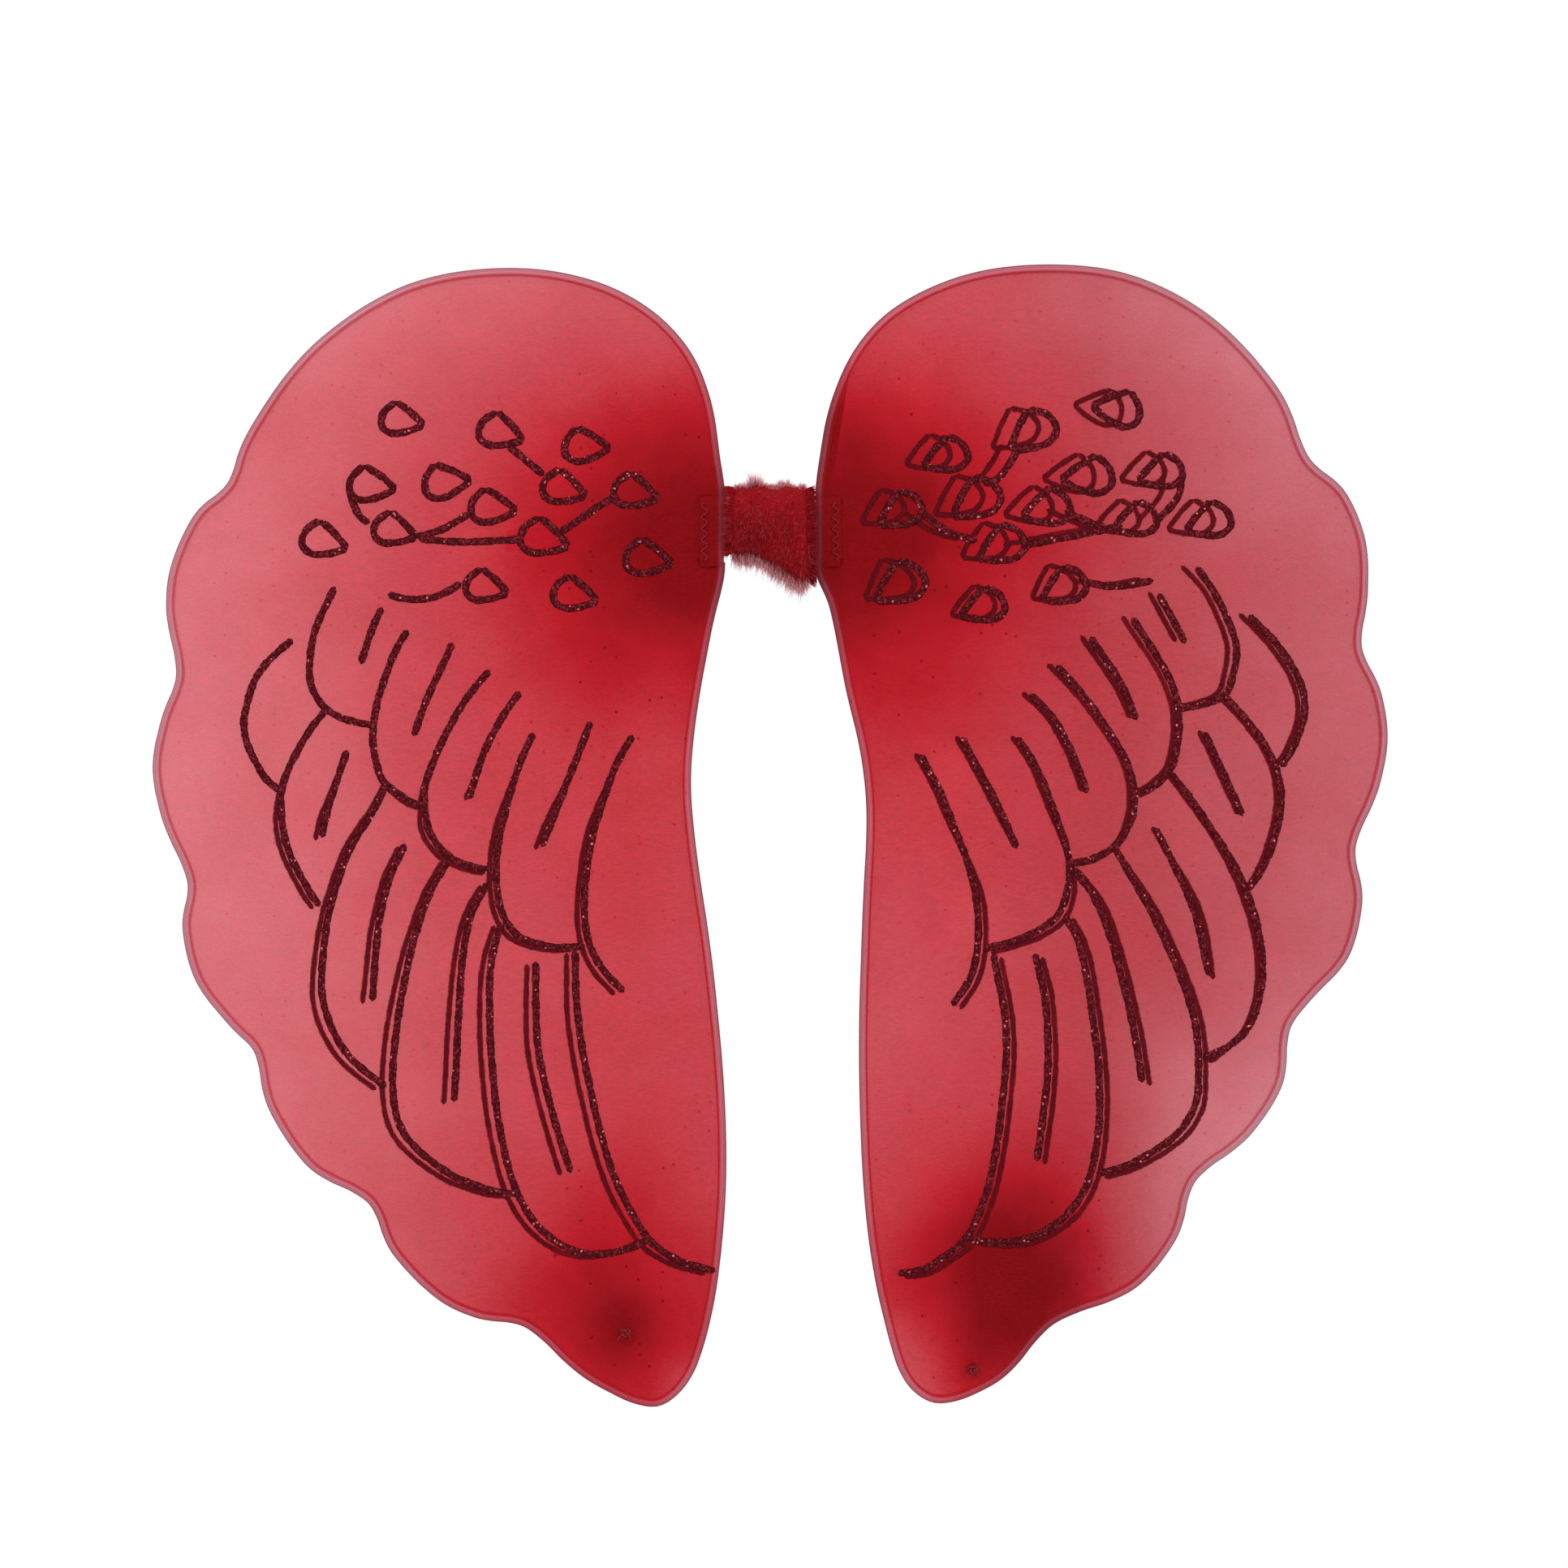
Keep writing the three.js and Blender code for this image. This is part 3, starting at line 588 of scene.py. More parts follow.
def make_groups():
    """The effects that several finishes share."""
    scalar, vector = "NodeSocketFloat", "NodeSocketVector"

    # Knitted net: rounded holes in a bed of fine threads, as the distance to the nearest wall
    tree, given, out = group(
        "Net Mesh",
        [("Vector", vector, None), ("Holes Per Metre", scalar, 1600.0)],
        [("Thread", scalar)],
    )
    cells = node(
        tree,
        "ShaderNodeTexVoronoi",
        {"Vector": given.outputs[0], "Scale": given.outputs[1], "Randomness": 0.35},
        feature="DISTANCE_TO_EDGE",
    )
    tree.links.new(spread(tree, cells.outputs["Distance"], 0.02, 0.30, 1.0, 0.0), out.inputs[0])

    # Flecks: short level streaks, light and dark, with scattered specks
    tree, given, out = group(
        "Flecks",
        [("Vector", vector, None), ("Streaks Per Metre", scalar, 420.0)],
        [("Streak", scalar), ("Speck", scalar), ("Cloud", scalar)],
    )
    level = vector_maths(tree, "MULTIPLY", given.outputs[0], (1.0, 3.0, 3.0)).outputs[0]
    streak = noise(tree, level, given.outputs[1], 3.0, 0.65)
    tree.links.new(spread(tree, streak, 0.30, 0.72), out.inputs["Streak"])
    dots = node(
        tree,
        "ShaderNodeTexVoronoi",
        {"Vector": given.outputs[0], "Scale": 210.0, "Randomness": 1.0},
    )
    near = spread(tree, dots.outputs["Distance"], 0.07, 0.17, 1.0, 0.0)
    chosen = node(tree, "ShaderNodeSeparateColor", {"Color": dots.outputs["Color"]})
    few = spread(tree, chosen.outputs[0], 0.70, 0.80)
    tree.links.new(maths(tree, "MULTIPLY", near, few), out.inputs["Speck"])
    cloud = noise(tree, given.outputs[0], 26.0, 4.0, 0.6)
    tree.links.new(spread(tree, cloud, 0.3, 0.7), out.inputs["Cloud"])

    # Dye patch: most at its centre, fading as the exponential of minus half the square of the
    # distance, measured in its own spread each way
    tree, given, out = group(
        "Dye Patch",
        [
            ("Vector", vector, None),
            ("Centre", vector, (0.0, 0.0, 0.0)),
            ("Spread", vector, (0.05, 1.0, 0.05)),
            ("Strength", scalar, 1.0),
        ],
        [("Amount", scalar)],
    )
    offset = vector_maths(tree, "SUBTRACT", given.outputs[0], given.outputs[1]).outputs[0]
    share = vector_maths(tree, "DIVIDE", offset, given.outputs[2]).outputs[0]
    square = vector_maths(tree, "DOT_PRODUCT", share, share).outputs["Value"]
    fade = maths(tree, "EXPONENT", maths(tree, "MULTIPLY", square, -0.5))
    tree.links.new(maths(tree, "MULTIPLY", fade, given.outputs[3]), out.inputs[0])

    # Glitter flakes: each cell is one flake with its own tone, and a few get painted glints
    tree, given, out = group(
        "Glitter Flakes",
        [("Vector", vector, None), ("Flakes Per Metre", scalar, 1500.0)],
        [("Tone", scalar), ("Bright", scalar), ("White Glint", scalar), ("Height", scalar)],
    )
    flakes = node(
        tree,
        "ShaderNodeTexVoronoi",
        {"Vector": given.outputs[0], "Scale": given.outputs[1], "Randomness": 1.0},
    )
    tones = node(tree, "ShaderNodeSeparateColor", {"Color": flakes.outputs["Color"]})
    bright = spread(tree, tones.outputs[1], 0.72, 0.90)
    white_glint = spread(tree, tones.outputs[2], 0.986, 0.996)
    tree.links.new(tones.outputs[0], out.inputs["Tone"])
    tree.links.new(bright, out.inputs["Bright"])
    tree.links.new(white_glint, out.inputs["White Glint"])
    lump = maths(tree, "SUBTRACT", 1.0, flakes.outputs["Distance"])
    tree.links.new(maths(tree, "MULTIPLY_ADD", tones.outputs[0], 0.6, lump), out.inputs["Height"])

    # Ribs: even ridges across or along the UV map, one for each pitch
    tree, given, out = group(
        "Ribs",
        [("Vector", vector, None), ("Pitch", vector, (0.001, 0.1, 1.0)), ("Slant", scalar, 0.0)],
        [("Ridge", scalar), ("Cross", scalar)],
    )
    cut = vector_maths(tree, "DIVIDE", given.outputs[0], given.outputs[1]).outputs[0]
    parts = node(tree, "ShaderNodeSeparateXYZ", {0: cut})
    lean = maths(tree, "MULTIPLY_ADD", parts.outputs[1], given.outputs[2], parts.outputs[0])
    wave = maths(tree, "SINE", maths(tree, "MULTIPLY", lean, 2 * math.pi))
    other = maths(tree, "SINE", maths(tree, "MULTIPLY", parts.outputs[1], 2 * math.pi))
    tree.links.new(maths(tree, "MULTIPLY_ADD", wave, 0.5, 0.5), out.inputs["Ridge"])
    tree.links.new(maths(tree, "MULTIPLY_ADD", other, 0.5, 0.5), out.inputs["Cross"])


def start_finish(name, roughness, metallic=0.0, specular=0.5):
    """A new material and its main shader."""
    made = bpy.data.materials.new(name)
    made.use_nodes = True
    tree = made.node_tree
    shader = tree.nodes["Principled BSDF"]
    shader.inputs["Roughness"].default_value = roughness
    shader.inputs["Metallic"].default_value = metallic
    shader.inputs["Specular IOR Level"].default_value = specular
    return made, tree, shader


def feed(tree, shader, **sockets):
    """Links values to the main shader's inputs. Underscores stand for spaces."""
    for key, value in sockets.items():
        tree.links.new(value, shader.inputs[key.replace("_", " ")])


def raise_by(tree, shader, height, distance, strength=1.0):
    """Feeds a height to the shader's normal through a Bump node."""
    inputs = {"Height": height, "Distance": distance, "Strength": strength}
    tree.links.new(node(tree, "ShaderNodeBump", inputs).outputs["Normal"], shader.inputs["Normal"])


def wing_net(side):
    """One wing's dyed net: deeper and denser at its root and toe, thinner at its rim with a painted
    highlight over the wire, and with painted grey shade on the right wing's outer part.
    """
    tones = colours()
    made, tree, shader = start_finish(f"{side}_wing_net", 0.7, specular=0.06)
    place = place_of(tree)
    x, _, z = node(tree, "ShaderNodeSeparateXYZ", {0: place}).outputs
    flecks = place_group(tree, "Flecks", {"Vector": place})
    if side == "left":
        root = ((-0.024, 0, -0.002), (0.055, 1, 0.045), 0.53)
        toe = ((-0.068, 0, -0.314), (0.038, 1, 0.044), 0.40)
        body = ((-0.120, 0, -0.040), (0.055, 1, 0.055), 0.12)
        lower = ((-0.075, 0, -0.125), (0.045, 1, 0.060), 0.05)
        gather = ((-0.0585, 0, -0.3227), (0.010, 1, 0.012), 0.12)
        outer = maths(tree, "MULTIPLY_ADD", spread(tree, x, -0.05, -0.26), -0.42, 0.49)
        tip = spread(tree, x, -0.052, -0.022, 0.0, 0.36)
        low = spread(tree, z, -0.325, -0.352)
    else:
        root = ((0.032, 0, -0.002), (0.058, 1, 0.052), 0.45)
        toe = ((0.096, 0, -0.302), (0.034, 1, 0.046), 0.48)
        body = ((0.190, 0, 0.065), (0.060, 1, 0.045), -0.16)
        lower = ((0.048, 0, -0.215), (0.042, 1, 0.048), -0.17)
        gather = ((0.0817, 0, -0.3375), (0.0012, 1, 0.0012), 0.3)
        outer = spread(tree, x, 0.10, 0.26, 0.56, 0.22)
        tip = spread(tree, x, 0.082, 0.050, 0.0, 0.40)
        low = spread(tree, z, -0.300, -0.350)
    depth = maths(tree, "SUBTRACT", outer, spread(tree, z, 0.040, 0.105, 0.0, 0.22))
    for centre, reach, strength in (root, toe, gather, body, lower):
        given = {"Vector": place, "Centre": centre, "Spread": reach, "Strength": strength}
        depth = maths(tree, "ADD", depth, place_group(tree, "Dye Patch", given)[0])
    depth = maths(tree, "SUBTRACT", depth, maths(tree, "MULTIPLY", tip, low))
    if side == "right":
        line = maths(tree, "MULTIPLY_ADD", z, -0.163, x)
        strip = spread(tree, line, 0.0213, 0.0219, 0.13, 0.0)
        span = maths(tree, "MULTIPLY", spread(tree, z, 0.0, 0.02), spread(tree, z, 0.075, 0.067))
        depth = maths(tree, "ADD", depth, maths(tree, "MULTIPLY", strip, span))
        lower = maths(tree, "MULTIPLY", spread(tree, z, -0.16, -0.25), spread(tree, x, 0.12, 0.17))
        depth = maths(tree, "SUBTRACT", depth, maths(tree, "MULTIPLY", lower, 0.32))
    depth = maths(tree, "MULTIPLY_ADD", flecks["Cloud"], 0.07, depth)
    depth = maths(tree, "MULTIPLY_ADD", flecks["Streak"], -0.08, depth)
    depth = maths(tree, "ADD", depth, 0.02)
    depth = maths(tree, "MULTIPLY_ADD", flecks["Speck"], 0.26, depth, clamp=True)
    dyes = [
        (0.0, tones.net_light),
        (0.36, tones.net_middle),
        (0.62, (0.670, 0.0190, 0.0380)),
        (0.82, (0.540, 0.0085, 0.0195)),
        (1.0, tones.net_deep),
    ]
    dyed = ramp(tree, depth, dyes)
    if side == "right":
        # Painted shade: the right wing is greyed towards its outer edge, as its tilt to the light
        # makes it look.
        painted_tilt_shade = spread(tree, x, 0.06, 0.15)
        dyed = blend(tree, painted_tilt_shade, dyed, blend(tree, 1.0, dyed, (0.83, 1.0, 1.0), mode="MULTIPLY"))
    shares = [(0.0, (0.57,) * 3), (0.36, (0.735,) * 3), (0.62, (0.83,) * 3), (0.82, (0.945,) * 3)]
    dense = ramp(tree, depth, shares + [(1.0, (0.985,) * 3)])
    edge = node(tree, "ShaderNodeAttribute", attribute_name="from_edge").outputs["Fac"]
    band = maths(tree, "MULTIPLY", spread(tree, edge, 0.35, 0.85), spread(tree, edge, 2.75, 2.2))
    outline = spread(tree, edge, 0.8, 0.3)
    inner = maths(tree, "MULTIPLY", spread(tree, edge, 2.55, 3.0), spread(tree, edge, 3.7, 3.1))
    grain = maths(tree, "MULTIPLY", flecks["Streak"], 0.85)
    dyed = blend(tree, grain, dyed, (0.74, 0.48, 0.50), mode="MULTIPLY")
    # Painted highlight: over the wire the net's colour is blended to a pale pink, less where the
    # dye is deeper. The net is also made thinner there, so the wire shows through.
    pale = maths(tree, "MULTIPLY_ADD", depth, -0.42, 0.60)
    toned = blend(tree, maths(tree, "MULTIPLY", band, pale), dyed, (0.66, 0.17, 0.25))
    toned = blend(tree, maths(tree, "MULTIPLY", inner, 0.50), toned, (0.20, 0.012, 0.020))
    toned = blend(tree, maths(tree, "MULTIPLY", outline, 0.72), toned, (0.16, 0.055, 0.085))
    thin = maths(tree, "MULTIPLY_ADD", band, -0.16, 1.0)
    share = maths(tree, "MULTIPLY", dense, thin)
    share = maths(tree, "MULTIPLY_ADD", inner, 0.2, share)
    share = maths(tree, "MULTIPLY_ADD", outline, 0.1, share, clamp=True)
    mesh = place_group(tree, "Net Mesh", {"Vector": place})[0]
    feed(tree, shader, Base_Color=toned, Alpha=share)
    raise_by(tree, shader, mesh, 0.00012, 0.7)
    return made


def glitter_glue(name, soaked=False):
    """Dark glue full of small flakes, a few of them with painted glints. Where it soaked through,
    it is paler and see-through.
    """
    tones = colours()
    made, tree, shader = start_finish(name, 0.6, specular=0.05)
    place = place_of(tree)
    flakes = place_group(tree, "Glitter Flakes", {"Vector": place})
    flecks = place_group(tree, "Flecks", {"Vector": place, "Streaks Per Metre": 900.0})
    dark = shades(tree, flakes["Tone"], tones.glitter, 0.55, 1.7)
    if soaked:
        pale = (0.15, 0.0045, 0.010)
        tinted = blend(tree, maths(tree, "MULTIPLY_ADD", flakes["Tone"], 0.4, 0.55), dark, pale)
        feed(tree, shader, Base_Color=tinted)
        rough = maths(tree, "MULTIPLY_ADD", flakes["Tone"], 0.2, 0.6)
        middle = node(tree, "ShaderNodeAttribute", attribute_name="across").outputs["Fac"]
        soft = spread(tree, middle, 1.0, 0.45)
        grain = maths(tree, "MULTIPLY_ADD", flecks["Streak"], -0.30, 0.84)
        feed(tree, shader, Roughness=rough, Alpha=maths(tree, "MULTIPLY", soft, grain))
    else:
        # Painted glints: a few flakes are painted a brighter red, and a rarer few pale pink, in
        # place of the light that they catch. The brighter ones are also a little metallic.
        bright = maths(tree, "MULTIPLY", flakes["Bright"], 0.34)
        tinted = blend(tree, bright, dark, tones.flake_glint)
        tinted = blend(tree, flakes["White Glint"], tinted, (0.85, 0.20, 0.22))
        rough = maths(tree, "MULTIPLY_ADD", flakes["Tone"], 0.30, 0.40)
        metal = maths(tree, "MULTIPLY", flakes["Bright"], 0.10)
        feed(tree, shader, Base_Color=tinted, Roughness=rough, Metallic=metal)
    raise_by(tree, shader, flakes["Height"], 0.00022, 0.7)
    return made


def spring_wire():
    """Pale drawn wire with fine marks along it."""
    tones = colours()
    made, tree, shader = start_finish("spring_wire", 0.34, metallic=0.35)
    marks = noise(tree, stretched(tree, surface_of(tree), (60, 14, 1)), 1.0, 4.0)
    rough = maths(tree, "MULTIPLY_ADD", marks, 0.25, 0.2)
    feed(tree, shader, Base_Color=shades(tree, marks, tones.wire, 0.82), Roughness=rough)
    raise_by(tree, shader, marks, 0.00003, 0.6)
    return made


def dipped_wire():
    """The bridge wires: spring wire dipped in deep red lacquer, scuffed along their length."""
    made, tree, shader = start_finish("dipped_wire", 0.55, specular=0.15)
    scuff = noise(tree, stretched(tree, surface_of(tree), (260.0, 9.0, 1.0)), 1.0, 4.0)
    worn = spread(tree, scuff, 0.62, 0.80)
    tone = blend(tree, worn, (0.17, 0.004, 0.008), (0.30, 0.05, 0.06))
    rough = maths(tree, "MULTIPLY_ADD", scuff, 0.3, 0.3)
    feed(tree, shader, Base_Color=tone, Roughness=rough)
    raise_by(tree, shader, scuff, 0.00005, 0.5)
    return made


def crimped_ferrule():
    """Aluminium ferrule: bright, with handling marks mottled all over it."""
    made, tree, shader = start_finish("crimped_ferrule", 0.3, metallic=1.0)
    cloud = noise(tree, place_of(tree), 900.0, 4.0)
    tone = blend(tree, cloud, (0.45, 0.44, 0.45), (0.78, 0.77, 0.78))
    rough = maths(tree, "MULTIPLY_ADD", cloud, 0.35, 0.18)
    feed(tree, shader, Base_Color=tone, Roughness=rough)
    raise_by(tree, shader, cloud, 0.00005, 0.6)
    return made


def spun_thread():
    """Twisted sewing thread: slanting ridges round it, with painted shade in the grooves between
    them.
    """
    tones = colours()
    made, tree, shader = start_finish("spun_thread", 0.7, specular=0.3)
    given = {"Vector": surface_of(tree), "Pitch": (0.0011, 1.0, 1.0), "Slant": 1.0}
    ridge = place_group(tree, "Ribs", given)["Ridge"]
    # Painted shade: the colour falls to 0.45 of the thread's in the grooves between the ridges.
    feed(tree, shader, Base_Color=shades(tree, ridge, tones.thread, 0.45))
    raise_by(tree, shader, ridge, 0.00015)
    return made


def cloth_tape():
    """Cloth tape wound round: weave lines with painted shade between the threads, and an edge at
    each turn.
    """
    tones = colours()
    made, tree, shader = start_finish("cloth_tape", 0.8, specular=0.25)
    given = {"Vector": surface_of(tree), "Pitch": (TAPE_LAP, 1.0, 1.0), "Slant": 1.0}
    turns = place_group(tree, "Ribs", given)["Ridge"]
    fine = place_group(tree, "Ribs", {"Vector": surface_of(tree), "Pitch": (0.0005, 0.02, 1.0)})
    weave = maths(tree, "MULTIPLY", fine["Ridge"], fine["Cross"])
    mixed = maths(tree, "MULTIPLY_ADD", weave, 0.4, turns)
    # Painted shade: the colour darkens to 0.6 of the tape's between the woven threads.
    feed(tree, shader, Base_Color=shades(tree, weave, tones.tape, 0.6))
    raise_by(tree, shader, mixed, 0.0002)
    return made


def plume_down():
    """The wrap's close plumes: deep red down, with a darker band and pale flecks."""
    tones = colours()
    made, tree, shader = start_finish("plume_down", 0.88, specular=0.05)
    place = place_of(tree)
    flecks = place_group(tree, "Flecks", {"Vector": place, "Streaks Per Metre": 320.0})
    hair = noise(tree, stretched(tree, place, (900.0, 900.0, 170.0)), 1.0, 5.0)
    z = node(tree, "ShaderNodeSeparateXYZ", {0: place}).outputs[2]
    band = maths(tree, "MULTIPLY", spread(tree, z, -0.011, -0.001), spread(tree, z, 0.013, 0.003))
    tone = shades(tree, hair, tones.plume, 0.55, 1.35)
    tone = blend(tree, maths(tree, "MULTIPLY", band, 0.38), tone, (0.13, 0.001, 0.004))
    tone = blend(tree, maths(tree, "MULTIPLY", flecks["Speck"], 0.6), tone, (0.08, 0.001, 0.003))
    light = maths(tree, "MULTIPLY", spread(tree, flecks["Streak"], 0.72, 1.0), 0.28)
    tone = blend(tree, light, tone, (0.62, 0.06, 0.08))
    feed(tree, shader, Base_Color=tone)
    raise_by(tree, shader, hair, 0.0006, 0.8)
    return made


def plume_barb():
    """A barb of the plumes: deep red at its root, and pale at the tip where `pale` is high."""
    tones = colours()
    made, tree, shader = start_finish("plume_barb", 0.8, specular=0.06)
    pale = node(tree, "ShaderNodeAttribute", attribute_name="pale").outputs["Fac"]
    streak = noise(tree, place_of(tree), 420.0, 2.0)
    amount = spread(tree, maths(tree, "MULTIPLY_ADD", streak, 0.5, pale), 0.28, 1.15)
    root = shades(tree, streak, tones.plume, 0.6, 1.5)
    feed(tree, shader, Base_Color=blend(tree, amount, root, tones.plume_tip))
    return made


def pressed_felt():
    """Wool felt: matted fibres, faintly mottled."""
    tones = colours()
    made, tree, shader = start_finish("pressed_felt", 0.95, specular=0.1)
    shader.inputs["Sheen Weight"].default_value = 0.35
    place = place_of(tree)
    fibre = noise(tree, place, 1400.0, 6.0, 0.7, 1.2)
    flecks = place_group(tree, "Flecks", {"Vector": place, "Streaks Per Metre": 160.0})
    tone = shades(tree, fibre, tones.felt, 0.5, 1.4)
    tone = blend(tree, maths(tree, "MULTIPLY", flecks["Cloud"], 0.25), tone, (0.36, 0.03, 0.045))
    feed(tree, shader, Base_Color=tone)
    raise_by(tree, shader, fibre, 0.0004)
    return made


def braided_elastic():
    """Braided elastic: ribs across the band and rubber threads along it, with painted shade in the
    grooves between them.
    """
    tones = colours()
    made, tree, shader = start_finish("braided_elastic", 0.75, specular=0.3)
    given = {"Vector": surface_of(tree), "Pitch": (0.0009, 0.0667, 1.0)}
    ribs, back = (place_group(tree, "Ribs", {**given, "Slant": lean}) for lean in (0.35, -0.35))
    braid = maths(tree, "MAXIMUM", ribs["Ridge"], back["Ridge"])
    height = maths(tree, "MULTIPLY_ADD", ribs["Cross"], 0.7, braid)
    flecks = place_group(tree, "Flecks", {"Vector": place_of(tree)})
    # Painted shade: the colour darkens to 0.68 of the elastic's in the grooves, where the braid is
    # low.
    tone = shades(tree, height, tones.elastic, 0.68)
    tone = blend(tree, maths(tree, "MULTIPLY", flecks["Cloud"], 0.12), tone, (0.62, 0.58, 0.56))
    feed(tree, shader, Base_Color=tone)
    raise_by(tree, shader, height, 0.00022)
    return made


def studio_floor():
    """A pale matt floor with a faint mottle."""
    material, tree, shader = start_finish("studio_floor", 0.9)
    mottle = noise(tree, place_of(tree), 9.0, 3.0)
    feed(tree, shader, Base_Color=blend(tree, mottle, (0.80,) * 3, (0.86,) * 3))
    return material


def finish(name):
    """A finish by name, made the first time that it is asked for."""
    if name in bpy.data.materials:
        return bpy.data.materials[name]
    makers = {
        "left_wing_net": lambda: wing_net("left"),
        "right_wing_net": lambda: wing_net("right"),
        "glitter_glue": lambda: glitter_glue("glitter_glue"),
        "soaked_glue": lambda: glitter_glue("soaked_glue", soaked=True),
        "spring_wire": spring_wire,
        "dipped_wire": dipped_wire,
        "crimped_ferrule": crimped_ferrule,
        "spun_thread": spun_thread,
        "cloth_tape": cloth_tape,
        "plume_down": plume_down,
        "plume_barb": plume_barb,
        "pressed_felt": pressed_felt,
        "braided_elastic": braided_elastic,
        "studio_floor": studio_floor,
    }
    if "Flecks" not in bpy.data.node_groups:
        make_groups()
    return makers[name]()


# --- The wings' shape -----------------------------------------------------------------------


def rim_line(name, count):
    """The middle line of a wing's wire, as x and z, anticlockwise from the frame's own wire.

    The frame's wire has one corner of each ring straight in front of its middle line, so the
    corners that lie furthest forward give that line. They are put in order by their angle
    about a point inside the wing, joined smoothly, and spaced closer along the root.
    """
    mesh = frame["nodes"][f"{name}_wing_wire"].data
    corners = np.zeros(len(mesh.vertices) * 3)
    mesh.vertices.foreach_get("co", corners)
    corners = corners.reshape(-1, 3)
    front = corners[corners[:, 1] < corners[:, 1].min() + 1e-5][:, [0, 2]]
    front = np.unique(np.round(front, 5), axis=0)
    inside = front - NET_MIDDLE * [SIDES[name], 1]
    front = front[np.argsort(np.arctan2(inside[:, 1], inside[:, 0]))]
    fine = smooth_line(front, 0.4 * MM, closed=True)
    near_root = (np.abs(fine[:, 1]) < 15 * MM) & (np.abs(fine[:, 0]) < AXIS_X + 2 * MM)
    weight = np.cumsum(np.where(near_root, 9.0, 1.0))
    mark = np.linspace(0, len(fine), count, endpoint=False)
    chosen = np.interp(mark, weight * len(fine) / weight[-1], np.arange(len(fine)))
    index = np.arange(len(fine))
    return np.stack([np.interp(chosen, index, fine[:, k]) for k in (0, 1)], axis=1)


def inward(line):
    """The unit direction square to a line and into the wing: its travel turned a quarter left."""
    ahead = along(line, closed=True)
    return np.stack([-ahead[:, 1], ahead[:, 0]], axis=1)


def evened(line, directions, width):
    """Directions round a closed line, each averaged with its neighbours.

    A neighbour's weight is its spacing times the exponential of minus half the square of its
    distance along the line, measured in widths.
    """
    spacing = np.linalg.norm(np.roll(line, -1, axis=0) - line, axis=1)
    place = np.cumsum(spacing) - spacing
    apart = np.abs(place[:, None] - place[None, :])
    apart = np.minimum(apart, spacing.sum() - apart)
    weight = np.exp(-0.5 * (apart / width) ** 2) * spacing[None, :]
    return unit(weight @ directions)


def net_rise(inset):
    """How far a layer stands off the wing's plane, at a distance in from the wire's middle.

    It leaves the top of the wire's cover and comes down smoothly to the layer gap.
    """
    high, low = sizes().rim_radius, sizes().layer_gap
    return low + (high - low) * (1 - ease(inset, 0.5 * MM, 4.6 * MM))


def sag(x, z):
    """The faint waves of the stretched net, the same for both layers: three crossed sines."""
    wave = np.sin(61 * x + 23 * z) + 0.7 * np.sin(97 * z - 41 * x + 1.3)
    return 0.16 * MM * (wave + 0.5 * np.sin(170 * x + 120 * z + 0.4))


def away_from_rim(inset):
    """0 at the rim and 1 well inside the wing."""
    return ease(inset, 5 * MM, 30 * MM)


def sleeve(name):
    """One wing's net: both layers and the rolled rim between them as one closed surface.

    Rows run round the wing and columns cross it, from the middle of the back layer out and
    round the wire in half a circle, then in to the middle of the front layer. At the mouth
    the rim leaves the wire and turns in, which opens the net for the bridge wires' eyes.
    """
    side = SIDES[name]
    radius = sizes().rim_radius
    line = rim_line(name, RIM_POINTS)
    normal = inward(line)
    at_root = (np.abs(line[:, 0]) < AXIS_X + 2 * MM) & (np.abs(line[:, 1]) < 16 * MM)
    mouth = ease(np.abs(line[:, 1]), MOUTH_HALF + 0.5 * MM, MOUTH_HALF - 0.3 * MM) * at_root
    turned_in = mouth * (MOUTH_DEPTH + radius)
    centre = line + normal * turned_in[:, None]

    angle = np.radians(np.linspace(90, -90, 17))
    steps = np.array([0.5, 1.0, 1.5, 2.0, 2.7, 3.6, 4.8, 6.5, 9.0, 12.0]) * MM
    insets = steps[None, :] * (1 - turned_in / steps[-1])[:, None]
    shares = np.linspace(1, 0, 19)[1:-1]
    pole = NET_MIDDLE * [side, 1]

    round_rim = centre[:, None] - normal[:, None] * (radius * np.cos(angle))[None, :, None]
    rim_y = np.broadcast_to(radius * np.sin(angle), round_rim.shape[:2])
    even = ease(steps, 1.0 * MM, 4.0 * MM)[None, :, None]
    way_in = unit((1 - even) * normal[:, None] + even * evened(line, normal, 9 * MM)[:, None])
    near = centre[:, None] + way_in * insets[:, :, None]
    near_y = net_rise(insets)
    middle = pole + (near[:, -1:] - pole) * shares[None, :, None]
    reach = np.linalg.norm(near[:, -1] - pole, axis=1)[:, None] * (1 - shares) + steps[-1]
    middle_y = net_rise(reach)
    flat = np.concatenate([near, middle], axis=1)
    height = np.concatenate([near_y, middle_y], axis=1)
    inset = np.concatenate([insets, reach], axis=1)
    wave = sag(flat[..., 0], flat[..., 1]) * away_from_rim(inset)

    plan = np.concatenate([flat[:, ::-1], round_rim, flat], axis=1)
    offset = np.concatenate([(height + wave)[:, ::-1], rim_y, -height + wave], axis=1)
    points = places(plan[..., 0], WING_PLANE + offset, plan[..., 1])
    rim_edge = np.broadcast_to(radius * (1 - np.cos(angle)), rim_y.shape)
    edge = np.concatenate([(radius + inset)[:, ::-1], rim_edge, radius + inset], axis=1)

    gap, centre_wave = sizes().layer_gap, sag(pole[0], pole[1])
    back, front = ([pole[0], WING_PLANE + off + centre_wave, pole[1]] for off in (gap, -gap))
    from_edge = np.append(edge.ravel(), [0.1, 0.1]) / MM
    obj = piece(
        f"{name}_stretched_net",
        disc(points, back, front),
        f"{name}_wing_net",
        f"{name}_wing",
        "wing_net",
        [f"{name}_wing_sleeve"],
        {"from_edge": from_edge},
    )


